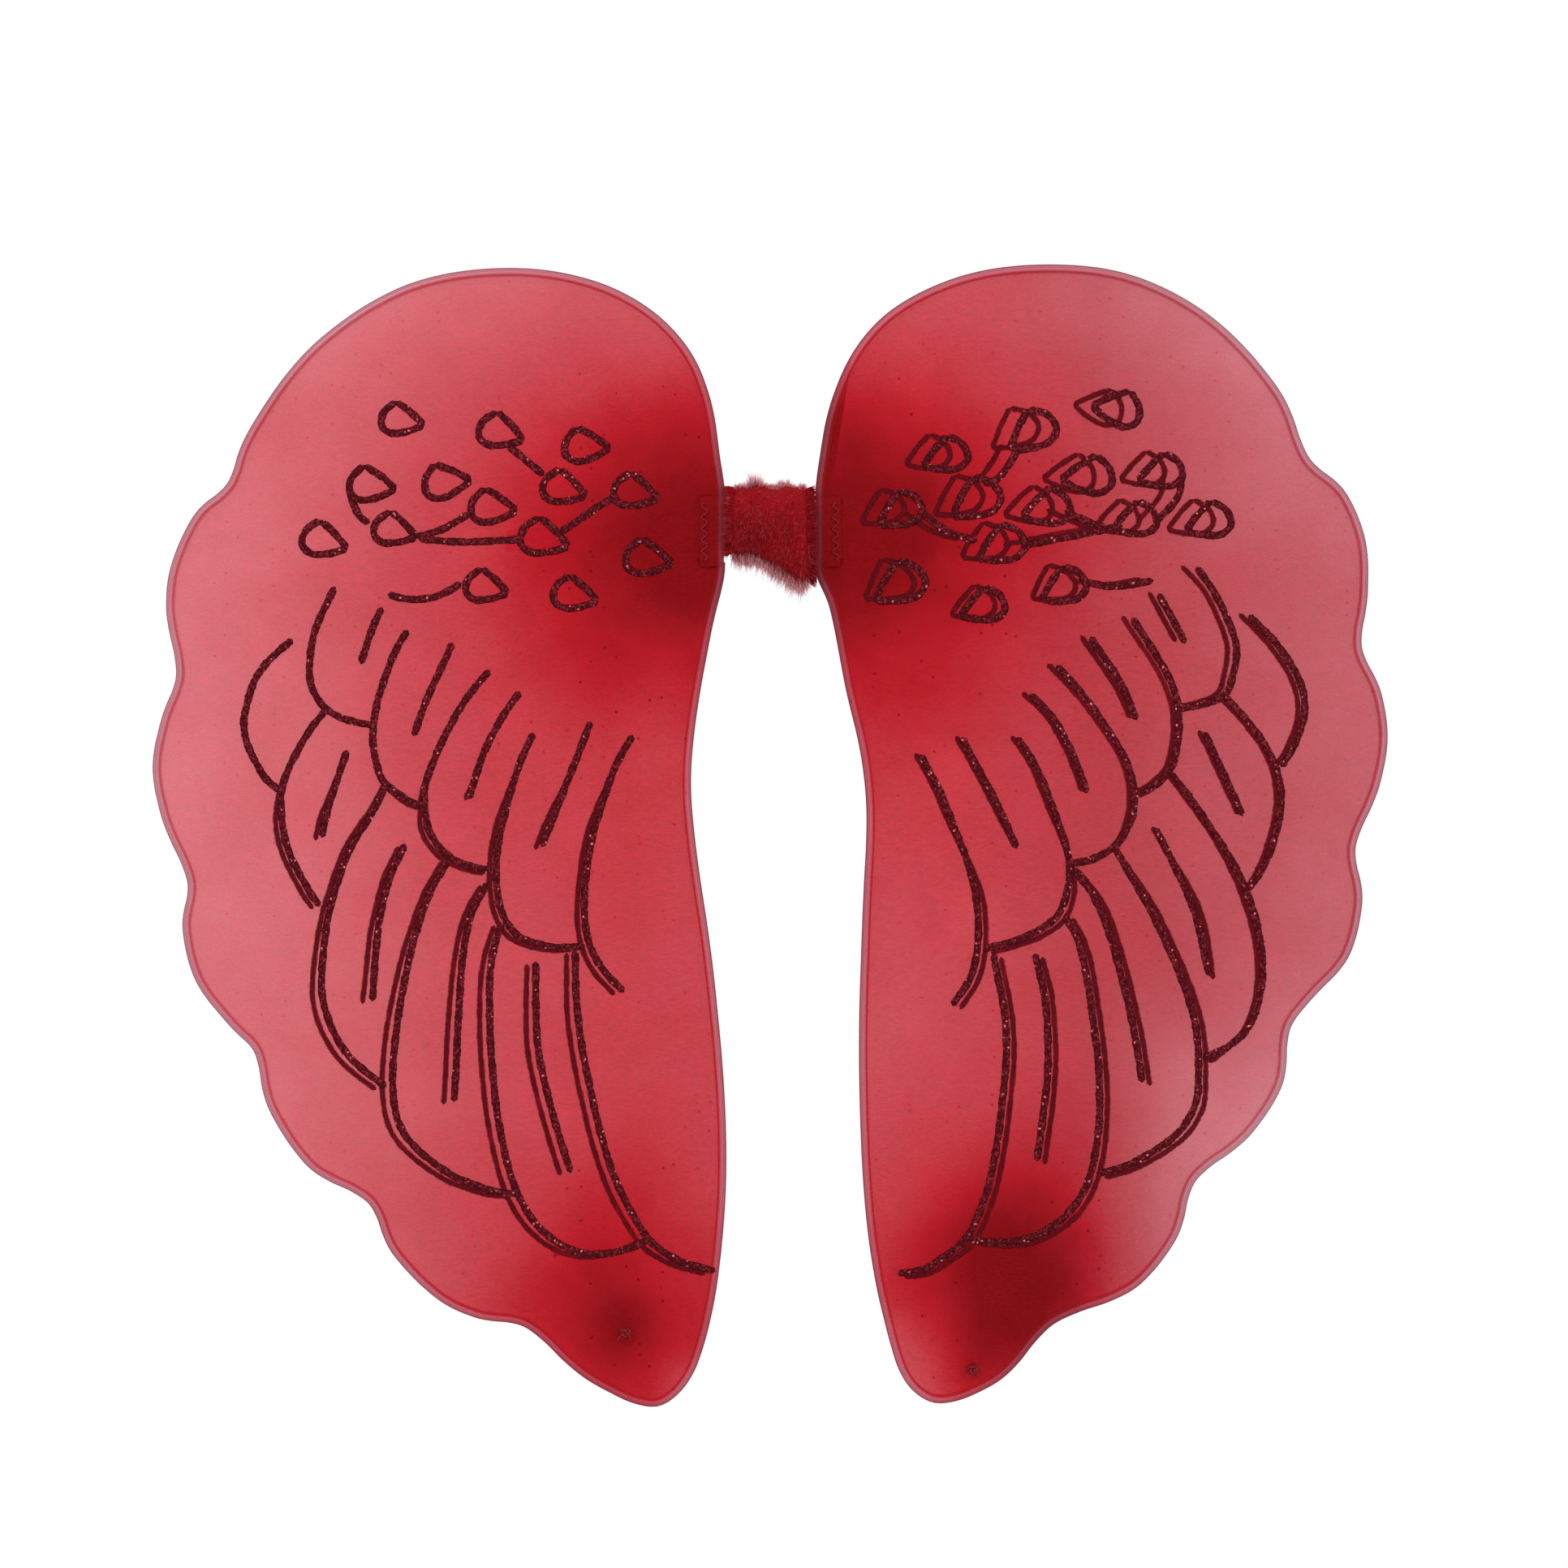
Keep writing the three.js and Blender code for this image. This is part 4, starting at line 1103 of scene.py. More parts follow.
def eye_cover(name):
    """The tuck of net that hides a wing's eyes and its mouth, sewn down beside the mouth.

    Its profile rounds the line that the wing folds on, as an arc, and runs out flat over the
    hem. Rows run up the root, and the arc sinks to the rim at both ends. A sine creases it.
    """
    side = SIDES[name]
    z = np.linspace(-14.2, 14.2, 61) * MM
    arc = np.radians([113, 97, 80, 64, 50])
    rounded = 3.77 * MM * np.stack([np.cos(arc), np.sin(arc)], axis=1)
    flat = np.array([[4.5, 2.32], [6.3, 2.12], [8.4, 2.06]]) * MM
    profile = smooth_line(np.vstack([rounded, flat]), 0.35 * MM)
    ahead = along(profile)
    square = np.stack([-ahead[:, 1], ahead[:, 0]], axis=1)
    loop = np.vstack([profile + 0.13 * MM * square, (profile - 0.13 * MM * square)[::-1]])
    sunk = (2.0 - 1.0 * ease(loop[:, 0], 2 * MM, 8 * MM)) * MM
    raised = ease(np.abs(z), 14.4 * MM, 10.8 * MM)[:, None]
    wall = np.where(np.arange(len(loop)) < len(profile), 0.0, -0.24 * MM)
    crease = 0.07 * MM * np.sin(z[:, None] * 1900 + loop[None, :, 0] * 700)
    forward = (1 - raised) * (sunk + wall)[None, :] + raised * loop[None, :, 1] + raised * crease
    points = places(side * (AXIS_X + loop[:, 0]), WING_PLANE - forward, z[:, None])
    way = travel(profile) / MM + 0.4
    from_edge = np.broadcast_to(np.concatenate([way, way[::-1]]), forward.shape).ravel()
    obj = piece(
        f"{name}_eye_cover",
        rod(points, z),
        f"{name}_wing_net",
        f"{name}_wing",
        "wing_net",
        attributes={"from_edge": np.append(from_edge, [6.0, 6.0])},
    )


def spring_wires(name):
    """One wing's closed loop of wire, round in section."""
    line = rim_line(name, RIM_POINTS)
    path = places(line[:, 0], WING_PLANE, line[:, 1])
    part = tube(path, sizes().wire_radius, sides=14, closed=True, up=(0, 1, 0))
    stood_for = [f"{name}_wing_wire"]
    piece(f"{name}_spring_wire", part, "spring_wire", f"{name}_wing", "wire", stood_for)


def ferrule(name):
    """The crimped tube that joins a wire's two ends: a wavy wall turned about the wire.

    The outer radius dips as two bells along its length, and its ends are rounded.
    """
    low, high = box_of(f"{name}_wire_ferrule")
    middle = 0.5 * (low + high)
    outer = 0.5 * (high[0] - low[0])
    bore = 1.3 * MM
    half = 0.5 * (high[2] - low[2])
    s = np.linspace(-1, 1, 41)
    z = half * np.sin(s * math.pi / 2)
    dents = sum(0.26 * MM * bell(z, place * MM, 0.55 * MM) for place in (1.5, -1.5))
    rounding = 0.22 * MM * (1 - np.sqrt(np.maximum(1 - (z / half) ** 12, 0)))
    skin = outer - dents - rounding
    inner_z = z[::-1][::4]
    r = np.concatenate([skin, np.full(len(inner_z), bore + 0.04 * MM)])
    level = np.concatenate([z, inner_z])
    turn = round_turn(40)[:, None]
    x, y = middle[0] + r * np.cos(turn), middle[1] + r * np.sin(turn)
    part = grid(places(x, y, middle[2] + level), close_rows=True, close_columns=True)
    stood_for = [f"{name}_wire_ferrule"]
    title = f"{name}_crimped_ferrule"
    piece(title, outward(part), "crimped_ferrule", f"{name}_wing", "ferrule", stood_for)


def bridge_wire(level):
    """A bridge wire: an eye of one and a half turns at each end, with a straight shank between.

    An eye is a helix about the line that its wing folds on, and it starts at the shank's back.
    """
    turns = np.linspace(0, EYE_TURNS, 61)
    angle = math.pi / 2 - 2 * math.pi * turns
    right = places(
        AXIS_X + EYE_RADIUS * np.cos(angle),
        WING_PLANE + EYE_RADIUS * np.sin(angle),
        level * (BRIDGE_LEVEL + EYE_PITCH * turns),
    )
    left = right[::-1] * np.array([-1, 1, 1])
    shank = np.linspace(left[-1], right[0], 24)[1:-1]
    path = np.vstack([left, shank, right])
    part = tube(path, sizes().wire_radius, sides=14)
    name = "upper" if level > 0 else "lower"
    piece(f"{name}_eyed_wire", part, "dipped_wire", "bridge", "wire", [f"{name}_bridge_wire"])


def binding():
    """The tape wound round both bridge wires: a long round-ended section carried along them.

    The radius steps up and falls away once in each turn, as lapped tape does.
    """
    x = np.linspace(BINDING_LOW[0], BINDING_HIGH[0], 121)
    turn = round_turn(44) + 0.001
    lap = (x[:, None] / TAPE_LAP + turn[None, :] / (2 * math.pi)) % 1.0
    inset = ease(np.abs(x - x.mean()), x[-1] - x.mean(), x[-1] - x.mean() - 0.5 * MM)
    depth = 0.5 * (BINDING_HIGH[1] - BINDING_LOW[1])
    radius = (depth - 0.30 * MM + 0.25 * MM * lap) * (0.82 + 0.18 * inset[:, None])
    half = np.where(np.sin(turn) > 0, BRIDGE_LEVEL, -BRIDGE_LEVEL)
    middle = 0.5 * (BINDING_LOW[1] + BINDING_HIGH[1])
    y, z = middle + radius * np.cos(turn), half + radius * np.sin(turn)
    part = rod(places(x[:, None], y, z), x)
    piece("wound_tape", part, "cloth_tape", "bridge", "binding_tape", ["bridge_binding"])


def mouth_stitch(name):
    """The wavy thread that closes a sleeve's hem at its mouth: a sine up the root."""
    low, high = box_of(f"{name}_mouth_stitch")
    radius = sizes().thread_radius
    s = np.linspace(0, 1, 221)
    x = 0.5 * (low[0] + high[0]) + (0.5 * (high[0] - low[0]) - radius) * np.sin(10 * math.pi * s)
    z = low[2] + radius + (high[2] - low[2] - 2 * radius) * s
    lift = WING_PLANE - 0.5 * (low[1] + high[1]) - 0.12 * MM * np.cos(20 * math.pi * s)
    path = places(x, WING_PLANE - lift, z)
    part = tube(path, radius * (1 + 0.08 * np.sin(190 * s)), sides=10, up=(0, 1, 0))
    stood_for = [f"{name}_mouth_stitch"]
    piece(f"{name}_mouth_thread", part, "spun_thread", f"{name}_wing", "thread", stood_for)


def toe_knot(name):
    """The knot that gathers the net at a toe: thread along a flattened trefoil, with two tails.

    The trefoil's point at an angle is sin + 2 sin twice it across, cos - 2 cos twice it up,
    and minus the sine of three times it in depth.
    """
    low, high = box_of(f"{name}_toe_knot")
    middle, half = 0.5 * (low + high), 0.5 * (high - low)
    radius = 0.42 * MM
    t = round_turn(150)
    across = (np.sin(t) + 2 * np.sin(2 * t)) / 3
    up = (np.cos(t) - 2 * np.cos(2 * t)) / 3
    knot = places(across, -np.sin(3 * t), up) * (half - radius) + middle
    parts = [tube(knot, radius, sides=9, closed=True, up=(0.02, 1, 0.03))]
    s = np.linspace(0, 1, 26)[:, None]
    for lean in (-0.6, 0.35):
        reach = np.array([lean * 5.2 * MM, 0.0, -3.6 * MM])
        bend = np.array([0.9 * MM, -0.1 * MM, 0.4 * MM])
        tail = middle + reach * s + bend * np.sin(math.pi * s) * np.sign(lean)
        tail[:, 1] = middle[1] + 0.35 * MM
        parts.append(tube(tail, 0.30 * MM, sides=8, up=(0, 1, 0)))
    title, stood_for = f"{name}_gathering_knot", [f"{name}_toe_knot"]
    piece(title, join(parts), "spun_thread", f"{name}_wing", "thread", stood_for)


# --- The glitter drawing --------------------------------------------------------------------


def petal_lines(corner, tip, side):
    """A petal's two lines: its straight side, faintly bowed, and its round side.

    The round side is set out from the tip along the way to the corner and square to it.
    """
    corner, tip = np.array(corner), np.array(tip)
    way = corner - tip
    square = np.array([way[1], -way[0]]) * side
    shares = np.array(PETAL_ROUND)
    curve = tip + shares[:, :1] * way + shares[:, 1:] * square
    bow = tip + 0.5 * way - 0.03 * square
    return [np.array([corner, bow, tip]), curve]


def drawing(name):
    """Every line of a wing's drawing, as x and z in metres, evenly spaced."""
    side = SIDES[name]
    lines = LEFT_LINES if name == "left" else RIGHT_LINES
    petals = LEFT_PETALS if name == "left" else RIGHT_PETALS

    def placed(points):
        p = np.asarray(points, float) / 100
        return np.stack([side * (ROOT_EDGE + p[:, 0] * DRAWING_WIDTH), p[:, 1] * DRAWING_HEIGHT], 1)

    drawn = [placed(line) for line in lines]
    for row in petals:
        ends = placed([row[:2], row[2:]])
        drawn += petal_lines(ends[0], ends[1], side)
    return [smooth_line(line, 1.1 * MM) for line in drawn]


def soaked_to(name, line):
    """Where a line shows on the back layer: slid sideways, by more or less down the wing."""
    across = (np.abs(line[:, 0]) - ROOT_EDGE) / DRAWING_WIDTH
    up = line[:, 1] / DRAWING_HEIGHT
    moved = line.copy()
    if name == "left":
        amount = ease(up, -0.205, -0.26)
        moved[:, 0] -= amount * (2.7 + 1.5 * ease(up, -0.30, -0.45)) * MM
        moved[:, 1] -= amount * 1.1 * MM
    else:
        lower = ease(up, -0.24, -0.33)
        inner = ease(across, 0.74, 0.66)
        slide = -7.2 + 3.3 * ease(up, -0.01, -0.06) + 1.9 * ease(up, -0.09, -0.2)
        moved[:, 0] += (slide + 5.1 * lower * inner) * MM
        moved[:, 1] += (0.6 - 2.0 * lower) * MM
    return moved


def bead(line, rim, width, height, face, rng):
    """A line of glue on the net: a low rounded section carried along it, with round ends.

    The section's points sit at shares of the half width, and rise as 1 minus their square.
    The half width swells and shrinks as a few random sines, and its ends close as a circle.
    """
    way = travel(line)
    ahead = along(line)
    square = np.stack([-ahead[:, 1], ahead[:, 0]], axis=1)
    phase = rng.uniform(0, 2 * math.pi, 6)
    waves = zip((0.35, 0.8, 1.9, 0.5, 1.3, 4.0), phase)
    waves = [np.sin(way / (span * MM) + start) for span, start in waves]
    wobble, drift = sum(waves[:3]), sum(waves[3:])
    half = 0.5 * width * (1 + 0.065 * wobble)
    end = np.minimum(way, way[-1] - way)
    round_end = np.sqrt(np.clip(1 - (1 - np.clip(end / half, 0, 1)) ** 2, 0.004, 1))
    line = line + square * (drift * 0.05 * MM)[:, None]
    share = np.array([-1.0, -0.75, -0.35, 0.0, 0.35, 0.75, 1.0, 0.55, -0.55])
    rise = np.append(1 - share[:7] ** 2, [-0.12, -0.12])
    reach = (half * round_end)[:, None, None] * share[None, :, None]
    plan = line[:, None] + square[:, None] * reach
    inset = np.sqrt(((line[:, None] - rim[None]) ** 2).sum(-1).min(axis=1))
    base = net_rise(inset) + 0.03 * MM
    wave = sag(line[:, 0], line[:, 1]) * away_from_rim(inset)
    lift = base[:, None] + height * rise[None, :] * round_end[:, None]
    points = places(plan[..., 0], WING_PLANE + wave[:, None] + face * lift, plan[..., 1])
    across = np.broadcast_to(np.abs(share), (len(line), len(share))).ravel()
    return rod(points, way), np.append(across, [0.9, 0.9])


def glitter(name):
    """A wing's drawing in glitter glue on its front, and the marks that it left behind it."""
    rim = rim_line(name, 400)
    lines = drawing(name)
    width, height = sizes().glitter_width, sizes().glitter_height
    thin = 0.09 * MM
    layers = [
        ("glitter_drawing", "glitter_glue", width, height, -1, False),
        ("soaked_front", "soaked_glue", sizes().print_width, thin, -1, True),
        ("soaked_back", "soaked_glue", sizes().print_width, thin, 1, True),
    ]
    for order, (title, look, wide, tall, face, slid) in enumerate(layers):
        rng = np.random.default_rng(11 + order + (40 if name == "right" else 0))
        parts, shares = [], []
        for line in lines:
            drawn = soaked_to(name, line) if slid else line
            part, across = bead(drawn, rim, wide, tall, face, rng)
            parts.append(part)
            shares.append(across)
        given = {"attributes": {"across": np.concatenate(shares)}}
        piece(f"{name}_{title}", join(parts), look, f"{name}_wing", "glitter", **given)


# --- The wrap, patch and straps -------------------------------------------------------------


def wrap_form(x, turn):
    """The wrap's surface at a place along it and an angle round it, 0 in front and 90 on top.

    Its top is level and its underside drops towards the fuller end as an eased step. In front
    it is half an ellipse, and behind it is squared off where the patch covers it.
    """
    top = 18.6 * MM
    under = -10.2 * MM - 12.6 * MM * ease(x, -9 * MM, 17 * MM)
    front = -19.2 * MM - 4.6 * MM * ease(x, -14 * MM, 14 * MM)
    back = WRAP_HIGH[1] - 0.3 * MM
    spine = -6.5 * MM
    share = np.clip(x / (WRAP_HIGH[0] - 0.1 * MM), -1, 1)
    shrink = np.sqrt(np.maximum(1 - np.abs(share) ** 18, 0))
    lump = 1 + 0.022 * np.sin(620 * x + 3 * turn) + 0.018 * np.sin(5 * turn - 400 * x)
    c, s = np.cos(turn), np.sin(turn)
    depth = np.where(c > 0, (spine - front) * c * lump, -(back - spine) * np.abs(c) ** 0.45)
    z = 0.5 * (top + under) + 0.5 * (top - under) * s * shrink * lump
    y = spine - depth * (0.35 + 0.65 * shrink)
    return np.stack([x + 0 * z, y, z], axis=-1)


def wrap_body():
    """The wrap's close plumes as one plump closed form."""
    half = WRAP_HIGH[0] - 0.1 * MM
    x = half * np.sin(np.linspace(-math.pi / 2, math.pi / 2, 90)[1:-1])
    turn = np.linspace(-math.pi, math.pi, 120, endpoint=False)
    part = rod(wrap_form(*np.meshgrid(x, turn, indexing="ij")), x)
    obj = piece("plume_body", part, "plume_down", "bridge", "plume", ["fluffy_wrap"])


def barbs(root, first, then, reach, radius, pale):
    """Many barbs at once: each a three-sided tapered rod, curving from one way into another.

    A barb's point at a share s of its reach is its root plus the first direction times s and
    the second times s squared. The radius falls in a straight line to the tip.
    """
    count, steps, sides = len(root), 5, 3
    s = np.linspace(0, 1, steps)[None, :, None]
    path = root[:, None] + reach[:, None, None] * (first[:, None] * s + then[:, None] * s**2)
    ahead = along(path)
    aside = unit(np.cross(ahead, np.array([0.31, 0.17, 0.93])))
    other = np.cross(ahead, aside)
    turn = round_turn(sides)
    thick = radius[:, None] * np.linspace(1, 0.14, steps)[None, :]
    ring = np.cos(turn)[:, None] * aside[:, :, None] + np.sin(turn)[:, None] * other[:, :, None]
    points = path[:, :, None] + thick[:, :, None, None] * ring
    i, j = np.meshgrid(np.arange(steps - 1), np.arange(sides), indexing="ij")
    k = (j + 1) % sides
    quad = np.stack([i * sides + j, i * sides + k, (i + 1) * sides + k, (i + 1) * sides + j], -1)
    ends = np.array([[2, 1, 0], [0, 1, 2]]) + np.array([[0], [(steps - 1) * sides]])
    start = np.arange(count)[:, None, None] * steps * sides
    quads = (quad.reshape(1, -1, 4) + start).reshape(-1, 4)
    triangles = (ends[None] + start).reshape(-1, 3)
    shade = np.repeat(pale[:, None] * np.linspace(0, 1, steps), sides, axis=1)
    part = {
        "points": points.reshape(-1, 3),
        "quads": quads,
        "quad_uv": np.zeros((len(quads), 4, 2)),
        "triangles": triangles,
        "triangle_uv": np.zeros((len(triangles), 3, 2)),
    }
    return part, shade.ravel()


def fringe():
    """The wrap's loose barbs: a pale fringe below and above and a close nap in front, held within
    its ends.
    """
    rng = np.random.default_rng(5)
    longest, thick = sizes().fringe_length, sizes().barb_radius
    half = WRAP_HIGH[0] - 0.6 * MM
    groups = []

    def scatter(count, x, turn, outward_share, droop, reach, pale, lean):
        at = wrap_form(x, turn)
        out = np.stack([0 * x, -np.cos(turn), np.sin(turn)], axis=1)
        clump = np.sin(2300 * x + 1.1 * np.sin(700 * x)) * lean
        sway = np.stack([clump + rng.normal(0, 0.22, count), rng.normal(0, 0.2, count), 0 * x], 1)
        down = np.array([0.0, 0.0, -1.0])
        first = unit(out * outward_share + sway + rng.normal(0, 0.12, (count, 3)))
        then = down * droop + rng.normal(0, 0.15, (count, 3))
        root = at - out * 0.9 * MM
        groups.append(barbs(root, first, then, reach, thick * rng.uniform(0.7, 1.15, count), pale))

    count = 2300
    x = rng.uniform(-half, half, count)
    turn = np.radians(rng.uniform(-112, -62, count))
    clump = 0.72 + 0.28 * np.sin(1500 * x) * np.sin(3900 * x + 1)
    reach = 1.12 * longest * clump * rng.uniform(0.55, 1.0, count)
    stray = rng.uniform(0, 1, count) > 0.985
    reach = np.where(stray, 1.5 * reach, reach)
    scatter(count, x, turn, 0.95, 0.25, reach, rng.uniform(0.75, 1.1, count), 0.30)

    count = 1400
    x = rng.uniform(-half, half, count)
    turn = np.radians(rng.uniform(66, 110, count))
    tuft = 0.35 + 0.65 * bell(x, -6.6 * MM, 2.6 * MM) + 0.25 * bell(x, 6 * MM, 2.5 * MM)
    reach = longest * 1.15 * tuft * rng.uniform(0.55, 1.0, count)
    scatter(count, x, turn, 1.0, -0.05, reach, rng.uniform(0.7, 1.0, count), 0.25)

    count = 1500
    x = rng.uniform(-half, half, count)
    turn = np.radians(rng.uniform(-66, 70, count))
    reach = longest * 0.62 * rng.uniform(0.5, 1.0, count)
    scatter(count, x, turn, 0.30, 0.95, reach, rng.uniform(0.0, 0.30, count), 0.15)

    part = join([g[0] for g in groups])
    below = part["points"][:, 2] < -15 * MM
    clear = np.where(below, 18.2 * MM, WRAP_HIGH[0] - 0.1 * MM)
    part["points"][:, 0] = np.clip(part["points"][:, 0], -clear, clear)
    values = {"pale": np.concatenate([g[1] for g in groups])}
    piece("plume_fringe", part, "plume_barb", "bridge", "plume", attributes=values)


def end_tuft(name):
    """The barbs that spill from an end of the wrap over a wing's eyes.

    The wing beside them presses them flat as it folds.
    """
    side = SIDES[name]
    rng = np.random.default_rng(21 if name == "left" else 22)
    count = 1500
    turn = np.radians(rng.uniform(-80, 78, count))
    x = side * rng.uniform(14.4, 15.9, count) * MM
    at = wrap_form(x, turn)
    at[:, 1] = np.minimum(at[:, 1] + 0.8 * MM, -13.2 * MM)
    aside = np.stack([0 * x + 0.95 * side, -0.05 * np.cos(turn), 0.30 * np.sin(turn)], axis=1)
    first = unit(aside + rng.normal(0, 0.14, (count, 3)))
    then = rng.normal(0, 0.12, (count, 3)) + np.array([0, 0, -0.15])
    reach = rng.uniform(3.0, 5.0, count) * MM
    thick = sizes().barb_radius * rng.uniform(1.1, 1.7, count)
    part, pale = barbs(at, first, then, reach, thick, rng.uniform(0.0, 0.22, count))
    points = part["points"]
    furthest_out, furthest_back = 18.9 * MM, -12.85 * MM
    points[:, 0] = side * np.minimum(side * points[:, 0], furthest_out)
    points[:, 1] = np.minimum(points[:, 1], furthest_back)
    values = {"pale": pale}
    obj = piece(f"{name}_end_tuft", part, "plume_barb", "bridge", "plume", attributes=values)
    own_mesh(obj)


def slab(low, high, corner, edge):
    """A flat pad with rounded corners and rounded edges, thin along Y.

    Round it, a point is a corner's centre plus the corner radius times cos and sin of an
    angle. Across it, the edge is half a circle, and the faces close on their middles.
    """
    low, high = np.asarray(low, float), np.asarray(high, float)
    middle = 0.5 * (low + high)
    half = 0.5 * (high - low)
    turn = round_turn(120) + 0.01
    away = np.stack([np.cos(turn), np.sin(turn)], axis=1)
    hub = np.sign(away) * (half[[0, 2]] - corner)
    curl = np.radians(np.linspace(90, -90, 11))
    pull = edge * (1 - np.cos(curl))
    depth = (half[1] - edge + edge * np.abs(np.sin(curl))) * np.sign(np.sin(curl))
    rim = hub[:, None] + away[:, None] * (corner - pull)[None, :, None]
    shares = np.array([0.82, 0.6, 0.35, 0.12])
    back = rim[:, :1] * shares[::-1][None, :, None]
    front = rim[:, -1:] * shares[None, :, None]
    plan = np.concatenate([back, rim, front], axis=1) + middle[[0, 2]]
    level = middle[1] + np.concatenate([np.full(4, half[1]), depth, np.full(4, -half[1])])
    back, front = ([middle[0], y, middle[2]] for y in (high[1], low[1]))
    return disc(places(plan[..., 0], level, plan[..., 1]), back, front)


def running_stitches(line, y, radius, stitch, space, closed=True):
    """Short stitches along a line: each a small rod whose ends dip into the cloth."""
    loop = np.vstack([line, line[:1]]) if closed else line
    way = travel(loop)
    number = max(int(way[-1] / (stitch + space)), 1)
    pitch = way[-1] / number
    parts = []
    for k in range(number):
        mark = np.linspace(k * pitch, k * pitch + stitch, 8)
        path = np.stack([np.interp(mark, way, loop[:, c]) for c in (0, 1)], axis=1)
        dip = radius * 1.1 * np.abs(np.linspace(-1, 1, 8)) ** 3
        line_of_thread = places(path[:, 0], y - dip, path[:, 1])
        parts.append(tube(line_of_thread, radius, sides=7, up=(0, 1, 0)))
    return join(parts)


def patch():
    """The felt patch on the wearer's side, sewn round and over both strap ends."""
    part = slab(PATCH_LOW, PATCH_HIGH, PATCH_CORNER, 0.7 * MM)
    piece("felt_patch", part, "pressed_felt", "bridge", "felt", ["back_patch"])
    turn = round_turn(200) + 0.01
    away = np.stack([np.cos(turn), np.sin(turn)], axis=1)
    hub = np.sign(away) * (PATCH_HIGH[[0, 2]] - PATCH_CORNER)
    border = hub + away * 3 * MM
    level, radius = PATCH_HIGH[1], 0.28 * MM
    rows = [running_stitches(border, level, radius, 2.6 * MM, 1.3 * MM)]
    top_in, top_out, low_out, low_in = [6.2, 3], [12.4, 3], [12.4, -3], [6.2, -3]
    box = [top_in, top_out, low_out, low_in, top_in]
    for side in (-1, 1):
        for corners in (box, [top_in, low_out], [low_in, top_out]):
            line = np.array(corners) * MM * [side, 1]
            rows.append(running_stitches(line, level, radius, 1.5 * MM, 0.6 * MM, closed=False))
    piece("patch_stitching", join(rows), "spun_thread", "bridge", "thread")


def strap_tab(name):
    """A strap's sewn end under the patch: two layers of the elastic, one on the other."""
    low, high = box_of(f"{name}_strap_tab")
    split = 0.5 * (low[1] + high[1])
    inner = slab(low, (high[0], split - 0.03 * MM, high[2]), 0.8 * MM, 0.35 * MM)
    outer = slab((low[0], split + 0.03 * MM, low[2]), high, 0.8 * MM, 0.35 * MM)
    title, stood_for = f"{name}_sewn_end", [f"{name}_strap_tab"]
    piece(title, join([inner, outer]), "braided_elastic", "bridge", "elastic", stood_for)


def strap(name):
    """An arm strap: flat elastic in a teardrop loop, standing on its edge.

    The loop leaves the line that it swings about, goes out as 1 minus cos of an angle, and
    spreads as its sine times the sine of half of it. The section is a rounded rectangle.
    """
    side = SIDES[name]
    hinge = next(j for j in frame["joints"] if j["name"] == f"{name}_strap_swing")["pos_m"]
    slant = math.radians(42)
    t = np.linspace(0, 2 * math.pi, 1500)
    start, reach, swell, parting = 0.9 * MM, 120 * MM, 36 * MM, 0.65 * MM
    out = start + reach * (1 - np.cos(t)) / 2
    spread_out = swell * np.sin(t) * np.sin(t / 2) + parting * np.cos(t / 2)
    x = hinge[0] + side * (out * math.cos(slant) - spread_out * math.sin(slant))
    y = hinge[1] + out * math.sin(slant) + spread_out * math.cos(slant)
    raw = np.stack([x, y, np.full(len(t), hinge[2])], axis=1)
    way = travel(raw)
    mark = np.linspace(0, way[-1], 300)
    path = np.stack([np.interp(mark, way, raw[:, k]) for k in range(3)], axis=1)
    ahead = along(path)
    across = unit(np.cross((0, 0, 1), ahead))
    wide, thick = 0.5 * sizes().strap_width, 0.5 * sizes().strap_thickness
    turn = round_turn(36)
    flat = np.sign(np.cos(turn)) * np.abs(np.cos(turn)) ** 0.35 * thick
    tall = np.sign(np.sin(turn)) * np.abs(np.sin(turn)) ** 0.75 * wide
    wave = 1 + 0.012 * np.sin(mark / (1.7 * MM))
    points = path[:, None] + flat[None, :, None] * across[:, None]
    points = points + np.array([0, 0, 1]) * (wave[:, None] * tall[None, :])[..., None]
    part = rod(points, mark, (path[0], path[-1]))
    title, stood_for = f"{name}_elastic_loop", [f"{name}_arm_strap"]
    piece(title, part, "braided_elastic", f"{name}_strap", "elastic", stood_for)


# --- The stage ------------------------------------------------------------------------------


